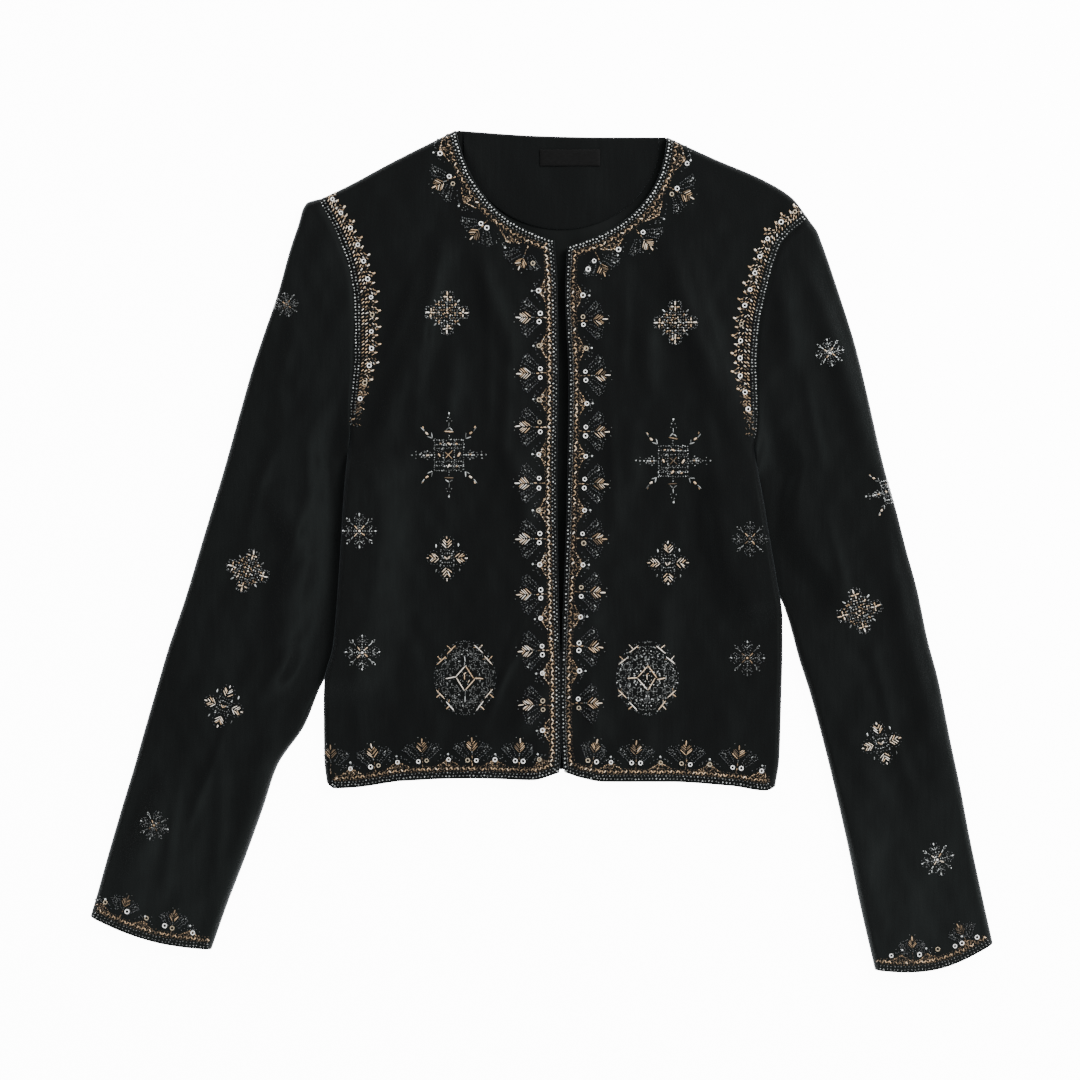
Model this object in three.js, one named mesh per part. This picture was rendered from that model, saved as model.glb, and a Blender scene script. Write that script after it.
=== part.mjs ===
// Cropped, collarless, open-fronted velvet jacket, laid flat on its back with the fronts up.
// Millimetres. +X is the wearer's left, +Y runs up to the neck, +Z is up from the surface it lies on.
// Each cut piece is a wall of cloth. The body and the sleeves are flattened tubes: the fronts lie on
// the back and meet it at rounded side seams and shoulders, and neck, fronts, hem and cuffs are open.
// Each sleeve is cut as a top sleeve, which wraps both edges, and a narrower under sleeve.

import * as THREE from 'three';

// Cloth, and how thick the garment lies
const CLOTH = 2;
const LAID = 10;
const SEAM = 0.3;
const ARMHOLE_GAP = 0.6;

// Where a sleeve's inner edge lies under the side of the body
const TUCK_LIFT = 6;
const PRESSED = 5.4;
const TUCK_FULL = 22;
const TUCK_END = 60;

// Heights on a panel, as fractions of the way from hem to shoulder
const UNDERARM = 0.66;
const NECK_CORNER = 0.93;
const PANEL_ROWS = [
  0, 0.05, 0.1, 0.15, 0.2, 0.25, 0.3, 0.36, 0.42, 0.48, 0.54, 0.6, 0.64, UNDERARM, 0.664, 0.675, 0.7,
  0.75, 0.8, 0.85, 0.89, NECK_CORNER, 0.955, 0.975, 0.99, 0.996, 0.9988, 1,
];

// Places across a panel, as fractions of its width, closest where it turns over a seam
const FRONT_COLUMNS = [0, 0.004, 0.014, 0.03, 0.08, 0.15, 0.24, 0.35, 0.47, 0.6, 0.73, 0.87, 1];
const BACK_MARGIN = [0, 0.002, 0.007, 0.015, 0.04, 0.075, 0.12, 0.17, 0.22];
const BACK_MIDDLE = [0.35, 0.43, 0.5, 0.57, 0.64];
const BESIDE_NECK_POINT = [0.007, 0.017];

// The wearer's right half, on the left as it lies
const RIGHT = {
  side: [
    { up: 0, x: -172.5, y: -184 },
    { up: 0.05, x: -174.5, y: -166 },
    { up: 0.15, x: -175, y: -125 },
    { up: 0.2, x: -174, y: -103 },
    { up: 0.27, x: -167, y: -74 },
    { up: 0.4, x: -162.5, y: -20 },
    { up: 0.55, x: -158.5, y: 45 },
    { up: UNDERARM, x: -154.5, y: 94 },
    { up: 0.72, x: -153, y: 122 },
    { up: 0.8, x: -150, y: 160 },
    { up: 0.87, x: -150.3, y: 198 },
    { up: 0.92, x: -154, y: 225 },
    { up: 0.96, x: -162.5, y: 250 },
    { up: 1, x: -179, y: 282 },
  ],
  edge: [
    { up: 0, x: 13, y: -176 },
    { up: 0.05, x: 14.6, y: -155 },
    { up: 0.15, x: 14.6, y: -112 },
    { up: 0.27, x: 13.2, y: -62 },
    { up: 0.4, x: 12, y: -10 },
    { up: 0.55, x: 11.2, y: 58 },
    { up: 0.72, x: 12.3, y: 135 },
    { up: 0.87, x: 11.5, y: 212 },
    { up: NECK_CORNER, x: 9, y: 249 },
  ],
  hem: [
    { x: -172.5, y: -184 },
    { x: -166, y: -188.3 },
    { x: -150, y: -187.5 },
    { x: -105, y: -181.6 },
    { x: -54, y: -180.3 },
    { x: -8, y: -181.6 },
    { x: 13, y: -176 },
  ],
  shoulder: [
    { x: -179, y: 282 },
    { x: -156, y: 293 },
    { x: -118, y: 313.4 },
    { x: -69.6, y: 337.6 },
  ],
  neckBow: { x: -56.8, y: 268.2 },
  tuck: { start: 90, full: 60, leaves: -98, end: -128 },
  cuffBow: 6,
  outward: -1,
  sleeve: [
    { outX: -179.3, outY: 281.5, inX: -154.7, inY: 94.2 },
    { outX: -187, outY: 280.5, inX: -155.15, inY: 91 },
    { outX: -191.5, outY: 275, inX: -155.35, inY: 88.5 },
    { outX: -195, outY: 263, inX: -155.5, inY: 86 },
    { outX: -202, outY: 242, inX: -155.8, inY: 82.5 },
    { outX: -212, outY: 206, inX: -156.35, inY: 76 },
    { outX: -222.4, outY: 175.8, inX: -156.95, inY: 69 },
    { outX: -232.6, outY: 145, inX: -157.9, inY: 58 },
    { outX: -242.7, outY: 109.4, inX: -152, inY: 40 },
    { outX: -256, outY: 62, inX: -146, inY: 12 },
    { outX: -270, outY: 16, inX: -146, inY: -16 },
    { outX: -286, outY: -37.5, inX: -150, inY: -48 },
    { outX: -300, outY: -79, inX: -162, inY: -80 },
    { outX: -309, outY: -110, inX: -177.5, inY: -108 },
    { outX: -318, outY: -141, inX: -190, inY: -138.5 },
    { outX: -327, outY: -173, inX: -212, inY: -171.5 },
    { outX: -337, outY: -206, inX: -223, inY: -204 },
    { outX: -347.4, outY: -241.6, inX: -237, inY: -243 },
    { outX: -357, outY: -276, inX: -252, inY: -282 },
    { outX: -361.5, outY: -291, inX: -264.5, inY: -317.5 },
  ],
};

// The wearer's left half, on the right as it lies
const LEFT = {
  side: [
    { up: 0, x: 187, y: -187 },
    { up: 0.05, x: 190.2, y: -166 },
    { up: 0.15, x: 191.6, y: -125 },
    { up: 0.27, x: 192.8, y: -74 },
    { up: 0.33, x: 192.4, y: -52 },
    { up: 0.4, x: 187.5, y: -22 },
    { up: 0.55, x: 177.5, y: 38 },
    { up: UNDERARM, x: 171, y: 84 },
    { up: 0.72, x: 172.8, y: 110 },
    { up: 0.8, x: 171.6, y: 148 },
    { up: 0.87, x: 174, y: 183 },
    { up: 0.92, x: 181, y: 215 },
    { up: 0.96, x: 191, y: 246 },
    { up: 1, x: 213, y: 267.5 },
  ],
  edge: [
    { up: 0, x: 18.5, y: -175.5 },
    { up: 0.05, x: 16.6, y: -155 },
    { up: 0.15, x: 15.8, y: -112 },
    { up: 0.27, x: 16.9, y: -66 },
    { up: 0.4, x: 19, y: -10 },
    { up: 0.55, x: 21, y: 58 },
    { up: 0.72, x: 22.1, y: 135 },
    { up: 0.87, x: 19.4, y: 210 },
    { up: NECK_CORNER, x: 21, y: 244.5 },
  ],
  hem: [
    { x: 18.5, y: -175.5 },
    { x: 31.6, y: -179.8 },
    { x: 50, y: -183 },
    { x: 100, y: -183 },
    { x: 151, y: -186.2 },
    { x: 179, y: -190 },
    { x: 187, y: -187 },
  ],
  shoulder: [
    { x: 100.8, y: 332 },
    { x: 138.7, y: 314.7 },
    { x: 177, y: 298.2 },
    { x: 200, y: 284 },
    { x: 213, y: 267.5 },
  ],
  neckBow: { x: 97, y: 264 },
  tuck: { start: 80, full: 50, leaves: -38, end: -68 },
  cuffBow: 10,
  outward: 1,
  sleeve: [
    { outX: 213.6, outY: 266.5, inX: 171.2, inY: 84.2 },
    { outX: 217, outY: 262, inX: 171.5, inY: 81 },
    { outX: 220.3, outY: 257.4, inX: 171.6, inY: 78.5 },
    { outX: 224, outY: 248, inX: 171.85, inY: 75 },
    { outX: 228, outY: 237, inX: 172.3, inY: 71 },
    { outX: 238.2, outY: 206.4, inX: 173.45, inY: 63 },
    { outX: 251, outY: 165.6, inX: 175.1, inY: 54 },
    { outX: 261, outY: 124.8, inX: 176.9, inY: 44 },
    { outX: 267, outY: 98, inX: 171, inY: 22 },
    { outX: 273.9, outY: 68.6, inX: 168, inY: -2 },
    { outX: 284, outY: 32.8, inX: 175, inY: -20 },
    { outX: 291.8, outY: 2.2, inX: 191.5, inY: -38 },
    { outX: 300.7, outY: -30.4, inX: 197, inY: -53 },
    { outX: 309, outY: -70, inX: 206, inY: -86 },
    { outX: 317.3, outY: -101.3, inX: 214, inY: -111 },
    { outX: 327.5, outY: -152.2, inX: 226, inY: -155 },
    { outX: 335.1, outY: -188, inX: 236, inY: -196 },
    { outX: 342.8, outY: -228.8, inX: 245, inY: -236 },
    { outX: 352, outY: -272, inX: 254.5, inY: -282 },
    { outX: 361, outY: -312.5, inX: 266.5, inY: -334 },
  ],
};

const BACK_HEM = [
  { x: -172.5, y: -184 },
  { x: -150, y: -184 },
  { x: 0, y: -175 },
  { x: 20, y: -173.5 },
  { x: 60, y: -176 },
  { x: 150, y: -184 },
  { x: 187, y: -187 },
];
const BACK_NECK = [
  { x: -69.6, y: 337.6 },
  { x: 0, y: 333 },
  { x: 50, y: 332 },
  { x: 100.8, y: 332 },
];

// The largest folds: soft ridges in the upper layer, each on a line that may bow to one side
const FOLDS = [
  { fromX: -76, fromY: 257, toX: -146, toY: 55, bow: 4, width: 12, height: 3.5 },
  { fromX: -56, fromY: 245, toX: -19, toY: 147, bow: 0, width: 9, height: 2.5 },
  { fromX: -71, fromY: 165, toX: -74, toY: 96, bow: 0, width: 8, height: 2 },
  { fromX: -31, fromY: 96, toX: -7, toY: 4, bow: 3, width: 10, height: 3 },
  { fromX: -28, fromY: -150, toX: 3, toY: -108, bow: 0, width: 9, height: 2.5 },
  { fromX: 98, fromY: 260, toX: 168, toY: 72, bow: -6, width: 13, height: 5 },
  { fromX: 85, fromY: 205, toX: 84, toY: 115, bow: 0, width: 9, height: 2.5 },
  { fromX: 73, fromY: 110, toX: 70, toY: 45, bow: 0, width: 9, height: 2 },
  { fromX: 133, fromY: 60, toX: 149, toY: -30, bow: 0, width: 11, height: 3 },
  { fromX: -222, fromY: 52, toX: -190, toY: -5, bow: 3, width: 12, height: 3 },
  { fromX: -184, fromY: 14, toX: -213, toY: -86, bow: -4, width: 12, height: 3.5 },
  { fromX: -196, fromY: -74, toX: -216, toY: -116, bow: 0, width: 9, height: 3 },
  { fromX: -211, fromY: -126, toX: -262, toY: -306, bow: 5, width: 11, height: 3 },
  { fromX: -294, fromY: -170, toX: -331, toY: -260, bow: 0, width: 11, height: 2.5 },
  { fromX: 202, fromY: 250, toX: 268, toY: 50, bow: 5, width: 10, height: 3.5 },
  { fromX: 188, fromY: 232, toX: 201, toY: 140, bow: 0, width: 10, height: 2.5 },
  { fromX: 280, fromY: 8, toX: 334, toY: -204, bow: -4, width: 11, height: 3 },
  { fromX: 245, fromY: -204, toX: 270, toY: -306, bow: 0, width: 10, height: 2.5 },
];
const FOLD_FADE = 12;

// Neck facing inside the back, and the blank woven label on it
const FACING_CLOTH = 1;
const FACING = { centre: 15.5, halfWidth: 80, depth: 74, top: 333, inset: 0.6 };
const LABEL = { x: 22.4, y: 316, wide: 48, tall: 13, thick: 0.6 };

// How each piece is divided up
const ROUND = LAID / 2;
const ROUND_STEPS = [0, Math.PI / 6, Math.PI / 3, Math.PI / 2];
const INNER_STATIONS = [46, 34, 22, 10];
const OUTER_STATION = 14;
const SLEEVE_MIDDLE = [0.25, 0.5, 0.75];
const WRAP = 18;
const HEAD_RINGS = 7;
const CUFF_RINGS = 5;
const ARMHOLE_STEPS = 24;
const FACING_STEPS = { across: 16, down: 3, cornerTurn: 0.07 };
const ON_THE_LINE = 0.05;

function mix(a, b, share) {
  return a + (b - a) * share;
}

// Rises smoothly from 0 at one value to 1 at the other
function ramp(from, to, value) {
  const share = Math.min(Math.max((value - from) / (to - from), 0), 1);
  return share * share * (3 - 2 * share);
}

// One column of a table read between its rows, on a smooth curve that never overshoots them
function read(rows, along, column, where) {
  const last = rows.length - 1;
  const secant = (k) => (rows[k + 1][column] - rows[k][column]) / (rows[k + 1][along] - rows[k][along]);
  const slope = (k) => {
    if (k === 0) return secant(0);
    if (k === last) return secant(last - 1);
    const before = secant(k - 1);
    const after = secant(k);
    return before * after > 0 ? (2 * before * after) / (before + after) : 0;
  };
  let k = 0;
  while (k < last - 1 && rows[k + 1][along] < where) k += 1;
  const span = rows[k + 1][along] - rows[k][along];
  const t = Math.min(Math.max((where - rows[k][along]) / span, 0), 1);
  const rise = rows[k + 1][column] - rows[k][column];
  const bend = t * (1 - t) * ((slope(k) * span - rise) * (1 - t) - (slope(k + 1) * span - rise) * t);
  return rows[k][column] + rise * t + bend;
}

function sideAt(half, up) {
  return { x: read(half.side, 'up', 'x', up), y: read(half.side, 'up', 'y', up) };
}

function neckPoint(half) {
  return half.outward < 0 ? half.shoulder[half.shoulder.length - 1] : half.shoulder[0];
}

// Front edge up to the corner, then the neckline, a curve drawn towards its bow point
function edgeAt(half, up) {
  if (up <= NECK_CORNER) {
    return { x: read(half.edge, 'up', 'x', up), y: read(half.edge, 'up', 'y', up) };
  }
  const corner = half.edge[half.edge.length - 1];
  const end = neckPoint(half);
  const t = (up - NECK_CORNER) / (1 - NECK_CORNER);
  const along = (key) => (1 - t) ** 2 * corner[key] + 2 * t * (1 - t) * half.neckBow[key] + t * t * end[key];
  return { x: along('x'), y: along('y') };
}

// Grid of a panel between two upright edges, bent to its hem and to its top edge
function panelGrid(columns, near, far, hemY, topY) {
  const ends = { low: [near(0), far(0)], high: [near(1), far(1)] };
  return PANEL_ROWS.map((up) => columns.map((share) => {
    const a = near(up);
    const b = far(up);
    const lowX = mix(ends.low[0].x, ends.low[1].x, share);
    const highX = mix(ends.high[0].x, ends.high[1].x, share);
    const dip = hemY(lowX) - mix(ends.low[0].y, ends.low[1].y, share);
    const rise = topY(highX) - mix(ends.high[0].y, ends.high[1].y, share);
    const y = mix(a.y, b.y, share) + dip * (1 - up) ** 2 + rise * up ** 3;
    return { x: mix(a.x, b.x, share), y };
  }));
}

// Distance from a point to the closest of several lines, and the direction away from it in plan
function awayFrom(lines, point, middle) {
  let best = { distance: Infinity, x: 0, y: 0 };
  for (const line of lines) {
    for (let k = 0; k + 1 < line.length; k += 1) {
      const runX = line[k + 1].x - line[k].x;
      const runY = line[k + 1].y - line[k].y;
      const share = ((point.x - line[k].x) * runX + (point.y - line[k].y) * runY) / (runX ** 2 + runY ** 2);
      const held = Math.min(Math.max(share, 0), 1);
      const x = point.x - line[k].x - runX * held;
      const y = point.y - line[k].y - runY * held;
      const distance = Math.hypot(x, y);
      if (distance < best.distance) {
        const length = Math.hypot(runX, runY);
        const facing = Math.sign(runX * (middle.y - line[k].y) - runY * (middle.x - line[k].x));
        best = distance < ON_THE_LINE
          ? { distance, x: (-runY * facing) / length, y: (runX * facing) / length }
          : { distance, x: x / distance, y: y / distance };
      }
    }
  }
  return best;
}

// How much of its full height the tuck has at this height of the body
function tucked(half, y) {
  const { start, full, leaves, end } = half.tuck;
  return ramp(start, full, y) * (1 - ramp(leaves, end, y));
}

// Lift of the body over the sleeve edge that lies under its side
function bodyLift(x, y) {
  const half = x < 0 ? RIGHT : LEFT;
  const rows = half.side.map((row) => ({ x: row.x, y: row.y }));
  const fromSide = (read(rows, 'y', 'x', y) - x) * half.outward;
  return TUCK_LIFT * tucked(half, y) * (1 - ramp(TUCK_FULL, TUCK_END, fromSide));
}

function foldHeight(x, y) {
  let height = 0;
  for (const fold of FOLDS) {
    const runX = fold.toX - fold.fromX;
    const runY = fold.toY - fold.fromY;
    const length = Math.hypot(runX, runY);
    const along = ((x - fold.fromX) * runX + (y - fold.fromY) * runY) / length ** 2;
    if (along > 0 && along < 1) {
      const aside = ((y - fold.fromY) * runX - (x - fold.fromX) * runY) / length;
      const across = aside - 4 * fold.bow * along * (1 - along);
      height += fold.height * Math.sin(Math.PI * along) * Math.exp(-((across / fold.width) ** 2));
    }
  }
  return height;
}

// Outer and inner point of a wall that turns over a rounded edge of the given radius.
// Side is 1 for the layer on top and -1 for the one below, and gap parts the two where they are sewn.
function wallPoints(point, away, radius, side, raised, gap) {
  const turn = Math.acos(1 - Math.min(away.distance, radius) / radius);
  const half = side * (gap / 2) * Math.cos(turn) ** 2;
  const place = (depth) => new THREE.Vector3(
    point.x + away.x * depth * Math.cos(turn),
    point.y + away.y * depth * Math.cos(turn),
    radius + half + side * (radius - depth) * Math.sin(turn) + raised,
  );
  return { outer: place(0), inner: place(CLOTH) };
}

// Closed mesh from an outer and an inner grid of points, with rims round its borders
function wallGeometry(outer, inner) {
  const rows = outer.length;
  const columns = outer[0].length;
  const points = [...outer.flat(), ...inner.flat()];
  const faces = [];
  const at = (layer, row, column) => layer * rows * columns + row * columns + column;
  const quad = (a, b, c, d) => faces.push(a, b, c, a, c, d);
  const far = columns - 1;
  for (let row = 0; row + 1 < rows; row += 1) {
    for (let column = 0; column < far; column += 1) {
      quad(at(0, row, column), at(0, row, column + 1), at(0, row + 1, column + 1), at(0, row + 1, column));
      quad(at(1, row, column), at(1, row + 1, column), at(1, row + 1, column + 1), at(1, row, column + 1));
    }
    quad(at(0, row, 0), at(0, row + 1, 0), at(1, row + 1, 0), at(1, row, 0));
    quad(at(0, row + 1, far), at(0, row, far), at(1, row, far), at(1, row + 1, far));
  }
  const end = rows - 1;
  for (let column = 0; column < far; column += 1) {
    quad(at(0, 0, column + 1), at(0, 0, column), at(1, 0, column), at(1, 0, column + 1));
    quad(at(0, end, column), at(0, end, column + 1), at(1, end, column + 1), at(1, end, column));
  }
  const geometry = new THREE.BufferGeometry();
  const places = points.flatMap((point) => [point.x, point.y, point.z]);
  geometry.setAttribute('position', new THREE.Float32BufferAttribute(places, 3));
  geometry.setIndex(faces);
  return facingOut(geometry, points, faces);
}

// Turns every face round where the enclosed volume comes out negative
function facingOut(geometry, points, faces) {
  let volume = 0;
  const across = new THREE.Vector3();
  for (let k = 0; k < faces.length; k += 3) {
    across.crossVectors(points[faces[k + 1]], points[faces[k + 2]]);
    volume += points[faces[k]].dot(across);
  }
  if (volume < 0) {
    geometry.setIndex(faces.slice().reverse());
  }
  return geometry;
}

function panelWall(grid, seams, side, folded) {
  const middle = grid[Math.floor(grid.length / 2)][Math.floor(grid[0].length / 2)];
  const walls = grid.map((row) => row.map((point) => {
    const away = awayFrom(seams, point, middle);
    const fold = folded ? foldHeight(point.x, point.y) * (1 - Math.exp(-away.distance / FOLD_FADE)) : 0;
    return wallPoints(point, away, ROUND, side, bodyLift(point.x, point.y) + fold, SEAM);
  }));
  const layer = (name) => walls.map((row) => row.map((wall) => wall[name]));
  return wallGeometry(layer('outer'), layer('inner'));
}

function frontGeometry(half) {
  const shoulderY = (x) => read(half.shoulder, 'x', 'y', x);
  const hemY = (x) => read(half.hem, 'x', 'y', x);
  const grid = panelGrid(FRONT_COLUMNS, (up) => sideAt(half, up), (up) => edgeAt(half, up), hemY, shoulderY);
  const seamRows = PANEL_ROWS.indexOf(UNDERARM) + 1;
  const sideSeam = grid.slice(0, seamRows).map((row) => row[0]);
  const shoulderSeam = grid[grid.length - 1];
  return panelWall(grid, [sideSeam, shoulderSeam], 1, true);
}

function backTopY(x) {
  if (x <= BACK_NECK[0].x) return read(RIGHT.shoulder, 'x', 'y', x);
  if (x >= BACK_NECK[BACK_NECK.length - 1].x) return read(LEFT.shoulder, 'x', 'y', x);
  return read(BACK_NECK, 'x', 'y', x);
}

function backGeometry() {
  const [low, high] = [sideAt(RIGHT, 1), sideAt(LEFT, 1)];
  const share = (x) => (x - low.x) / (high.x - low.x);
  const neckShares = [share(neckPoint(RIGHT).x), share(neckPoint(LEFT).x)];
  const farMargin = BACK_MARGIN.map((value) => 1 - value).reverse();
  const nearNeck = BESIDE_NECK_POINT.map((step) => neckShares[0] + step);
  const farNeck = BESIDE_NECK_POINT.map((step) => neckShares[1] - step).reverse();
  const across = [neckShares[0], ...nearNeck, ...BACK_MIDDLE, ...farNeck, neckShares[1]];
  const columns = [...BACK_MARGIN, ...across, ...farMargin];
  const hemY = (x) => read(BACK_HEM, 'x', 'y', x);
  const grid = panelGrid(columns, (up) => sideAt(RIGHT, up), (up) => sideAt(LEFT, up), hemY, backTopY);
  const seamRows = PANEL_ROWS.indexOf(UNDERARM) + 1;
  const lastColumn = columns.length - 1;
  const sideSeams = [0, lastColumn].map((column) => grid.slice(0, seamRows).map((row) => row[column]));
  const top = grid[grid.length - 1];
  const shoulderSeams = [
    top.slice(0, columns.indexOf(neckShares[0]) + 1),
    top.slice(columns.indexOf(neckShares[1])),
  ];
  return panelWall(grid, [...sideSeams, ...shoulderSeams], -1, false);
}

// How far the armhole stands off the straight line from shoulder to underarm, along that line
function armholeBow(half) {
  const top = sideAt(half, 1);
  const foot = sideAt(half, UNDERARM);
  const length = Math.hypot(foot.x - top.x, foot.y - top.y);
  const rows = [];
  for (let k = 0; k <= ARMHOLE_STEPS; k += 1) {
    const point = sideAt(half, mix(1, UNDERARM, k / ARMHOLE_STEPS));
    const run = ((point.x - top.x) * (foot.x - top.x) + (point.y - top.y) * (foot.y - top.y)) / length ** 2;
    rows.push({ run, x: point.x - mix(top.x, foot.x, run), y: point.y - mix(top.y, foot.y, run) });
  }
  return rows;
}

// Points across the two pieces of a sleeve's flattened section, as distance from its outer edge and
// layer. The top sleeve runs from the underside round the outer edge, over the top and round the inner
// edge back to the underside, and the under sleeve fills the flat middle of the underside.
function sleeveSections(width, innerHeight) {
  const turned = (radius, angle) => radius * (1 - Math.cos(angle));
  const outerEnd = ROUND_STEPS.map((angle) => turned(ROUND, angle));
  const innerEnd = ROUND_STEPS.map((angle) => width - turned(innerHeight / 2, angle)).reverse();
  const inner = INNER_STATIONS.map((distance) => width - distance);
  const middle = SLEEVE_MIDDLE.map((share) => mix(OUTER_STATION, inner[0], share));
  const layer = (runs, side) => runs.map((run) => ({ run, side }));
  return {
    top: [
      ...layer([WRAP, ...outerEnd.slice(1).reverse()], -1),
      ...layer([...outerEnd, OUTER_STATION, ...middle, ...inner, ...innerEnd], 1),
      ...layer([...innerEnd.slice(0, -1).reverse(), width - WRAP], -1),
    ],
    under: layer([WRAP + SEAM, mix(WRAP, width - WRAP, 0.5), width - WRAP - SEAM], -1),
  };
}

function sleeveGeometry(half, pieceName) {
  const bow = armholeBow(half);
  const outer = [];
  const inner = [];
  half.sleeve.forEach((row, ring) => {
    const width = Math.hypot(row.inX - row.outX, row.inY - row.outY);
    const inward = { x: (row.inX - row.outX) / width, y: (row.inY - row.outY) / width };
    const innerHeight = mix(LAID, PRESSED, tucked(half, row.inY));
    const head = 1 - ramp(0, HEAD_RINGS, ring);
    const cuff = ramp(half.sleeve.length - 1 - CUFF_RINGS, half.sleeve.length - 1, ring);
    const clear = ring === 0 ? ARMHOLE_GAP * half.outward : 0;
    const walls = sleeveSections(width, innerHeight)[pieceName].map(({ run, side }) => {
      const share = run / width;
      const cuffBow = half.cuffBow * cuff * Math.sin(Math.PI * share);
      const point = {
        x: mix(row.outX, row.inX, share) + read(bow, 'run', 'x', share) * head
          - inward.y * half.outward * cuffBow + clear,
        y: mix(row.outY, row.inY, share) + read(bow, 'run', 'y', share) * head
          + inward.x * half.outward * cuffBow,
      };
      const fromInner = width - run;
      const height = mix(innerHeight, LAID, ramp(INNER_STATIONS[2], INNER_STATIONS[0], fromInner));
      const distance = Math.min(run, fromInner);
      const toMiddle = run < fromInner ? 1 : -1;
      const away = { distance, x: inward.x * toMiddle, y: inward.y * toMiddle };
      const faded = 1 - Math.exp(-distance / FOLD_FADE);
      const raised = side > 0 ? foldHeight(point.x, point.y) * faded * (height / LAID) : 0;
      return wallPoints(point, away, height / 2, side, raised, 0);
    });
    outer.push(walls.map((wall) => wall.outer));
    inner.push(walls.map((wall) => wall.inner));
  });
  return wallGeometry(outer, inner);
}

// Half-moon facing that lies on the inside of the back below the neck edge
function facingGeometry() {
  const { across, down, cornerTurn } = FACING_STEPS;
  const upper = [];
  const lower = [];
  for (let row = 0; row <= down; row += 1) {
    const points = [];
    for (let k = 0; k <= across; k += 1) {
      const angle = Math.PI * mix(cornerTurn, 1 - cornerTurn, k / across);
      const x = FACING.centre - FACING.halfWidth * Math.cos(angle);
      const lowY = FACING.top - FACING.depth * Math.sin(angle);
      const highY = read(BACK_NECK, 'x', 'y', x) - FACING.inset;
      points.push({ x, y: mix(lowY, highY, row / down) });
    }
    upper.push(points.map((p) => new THREE.Vector3(p.x, p.y, CLOTH + SEAM + FACING_CLOTH)));
    lower.push(points.map((p) => new THREE.Vector3(p.x, p.y, CLOTH + SEAM)));
  }
  return wallGeometry(upper, lower);
}

function material(colour, roughness) {
  return new THREE.MeshStandardMaterial({ color: colour, roughness, metalness: 0 });
}

function piece(name, geometry, finish) {
  const mesh = new THREE.Mesh(geometry, finish);
  mesh.name = name;
  return mesh;
}

function neckLabel() {
  const shape = new THREE.BoxGeometry(LABEL.wide, LABEL.tall, LABEL.thick);
  const mesh = piece('neck_label', shape, material(0x17181a, 0.6));
  const facingTop = CLOTH + SEAM + FACING_CLOTH;
  mesh.position.set(LABEL.x, LABEL.y, facingTop + SEAM + LABEL.thick / 2);
  return mesh;
}

const velvet = material(0x101314, 0.9);
const group = new THREE.Group();
group.add(
  piece('back', backGeometry(), velvet),
  piece('front_right', frontGeometry(RIGHT), velvet),
  piece('front_left', frontGeometry(LEFT), velvet),
  piece('sleeve_right_top', sleeveGeometry(RIGHT, 'top'), velvet),
  piece('sleeve_right_under', sleeveGeometry(RIGHT, 'under'), velvet),
  piece('sleeve_left_top', sleeveGeometry(LEFT, 'top'), velvet),
  piece('sleeve_left_under', sleeveGeometry(LEFT, 'under'), velvet),
  piece('back_neck_facing', facingGeometry(), velvet),
  neckLabel(),
);

// The origin is under the middle of the garment's outline
const outline = new THREE.Box3().setFromObject(group);
const middle = outline.getCenter(new THREE.Vector3());
group.position.set(-middle.x, -middle.y, -outline.min.z);

export default group;
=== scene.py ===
# Cropped, collarless velvet jacket with beaded borders and stars, laid on its back with its fronts up.
# Blender works in metres. The tables and the shapes here are in millimetres, +X is the wearer's left,
# +Y runs up to the neck and +Z is up from the surface that the jacket lies on.

import bpy
import numpy as np
from bpy.props import FloatProperty, FloatVectorProperty, IntProperty, PointerProperty
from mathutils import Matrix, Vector
from mathutils.bvhtree import BVHTree


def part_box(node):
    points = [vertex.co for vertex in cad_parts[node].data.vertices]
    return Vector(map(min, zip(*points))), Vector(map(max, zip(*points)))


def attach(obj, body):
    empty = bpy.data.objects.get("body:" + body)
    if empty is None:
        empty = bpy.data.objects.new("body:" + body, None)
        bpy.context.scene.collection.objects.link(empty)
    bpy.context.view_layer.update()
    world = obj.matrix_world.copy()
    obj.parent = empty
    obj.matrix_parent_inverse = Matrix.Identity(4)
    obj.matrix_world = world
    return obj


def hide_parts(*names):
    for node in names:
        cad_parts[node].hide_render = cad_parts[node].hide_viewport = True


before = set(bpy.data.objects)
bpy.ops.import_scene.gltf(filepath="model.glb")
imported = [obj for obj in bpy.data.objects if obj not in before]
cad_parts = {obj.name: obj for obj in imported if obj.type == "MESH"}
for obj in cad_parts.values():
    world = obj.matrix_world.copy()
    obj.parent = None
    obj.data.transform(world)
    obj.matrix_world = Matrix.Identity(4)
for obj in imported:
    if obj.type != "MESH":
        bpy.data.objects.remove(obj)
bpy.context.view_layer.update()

bl_info = {
    "name": "Beaded velvet jacket",
    "version": (1, 0, 0),
    "blender": (4, 5, 0),
    "location": "3D View > Sidebar > Jacket",
    "description": "Makes a cropped velvet jacket with beaded borders, and its stage",
    "category": "Add Mesh",
}

MM = 0.001

# The photograph: millimetres for one pixel, its size in pixels, and the pixel over the tables' origin
PIXEL = 0.8
PHOTO_SIZE = 1080
PHOTO_MIDDLE = (542, 552)

# How the jacket lies: its height, the radius of its edges, the back's cloth and the gap at a seam
LAID = 10.0
ROUND = LAID / 2
WALL = 2.0
SEAM = 0.3

# Where a side lies on a sleeve: its lift, the sleeve's height there, and how far in both are full and end
TUCK_LIFT = 6.0
PRESSED = 5.4
TUCK_FULL, TUCK_END, PRESSED_END = 22.0, 60.0, 46.0

# Shares of the way up the body at the underarm and at the corner of the neck
UNDERARM = 0.66
NECK_CORNER = 0.93

# How far from an edge a fold takes to rise, and where the seams under a sleeve are, with the rows beside them
FOLD_FADE = 12.0
WRAP, WRAP_BESIDE = 18.0, 2.4

# Rings of a sleeve that are bowed like the armhole and like the cuff, and the ring at the armpit
HEAD_RINGS, CUFF_RINGS, ARMPIT_RING = 7, 5, 6.9

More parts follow.
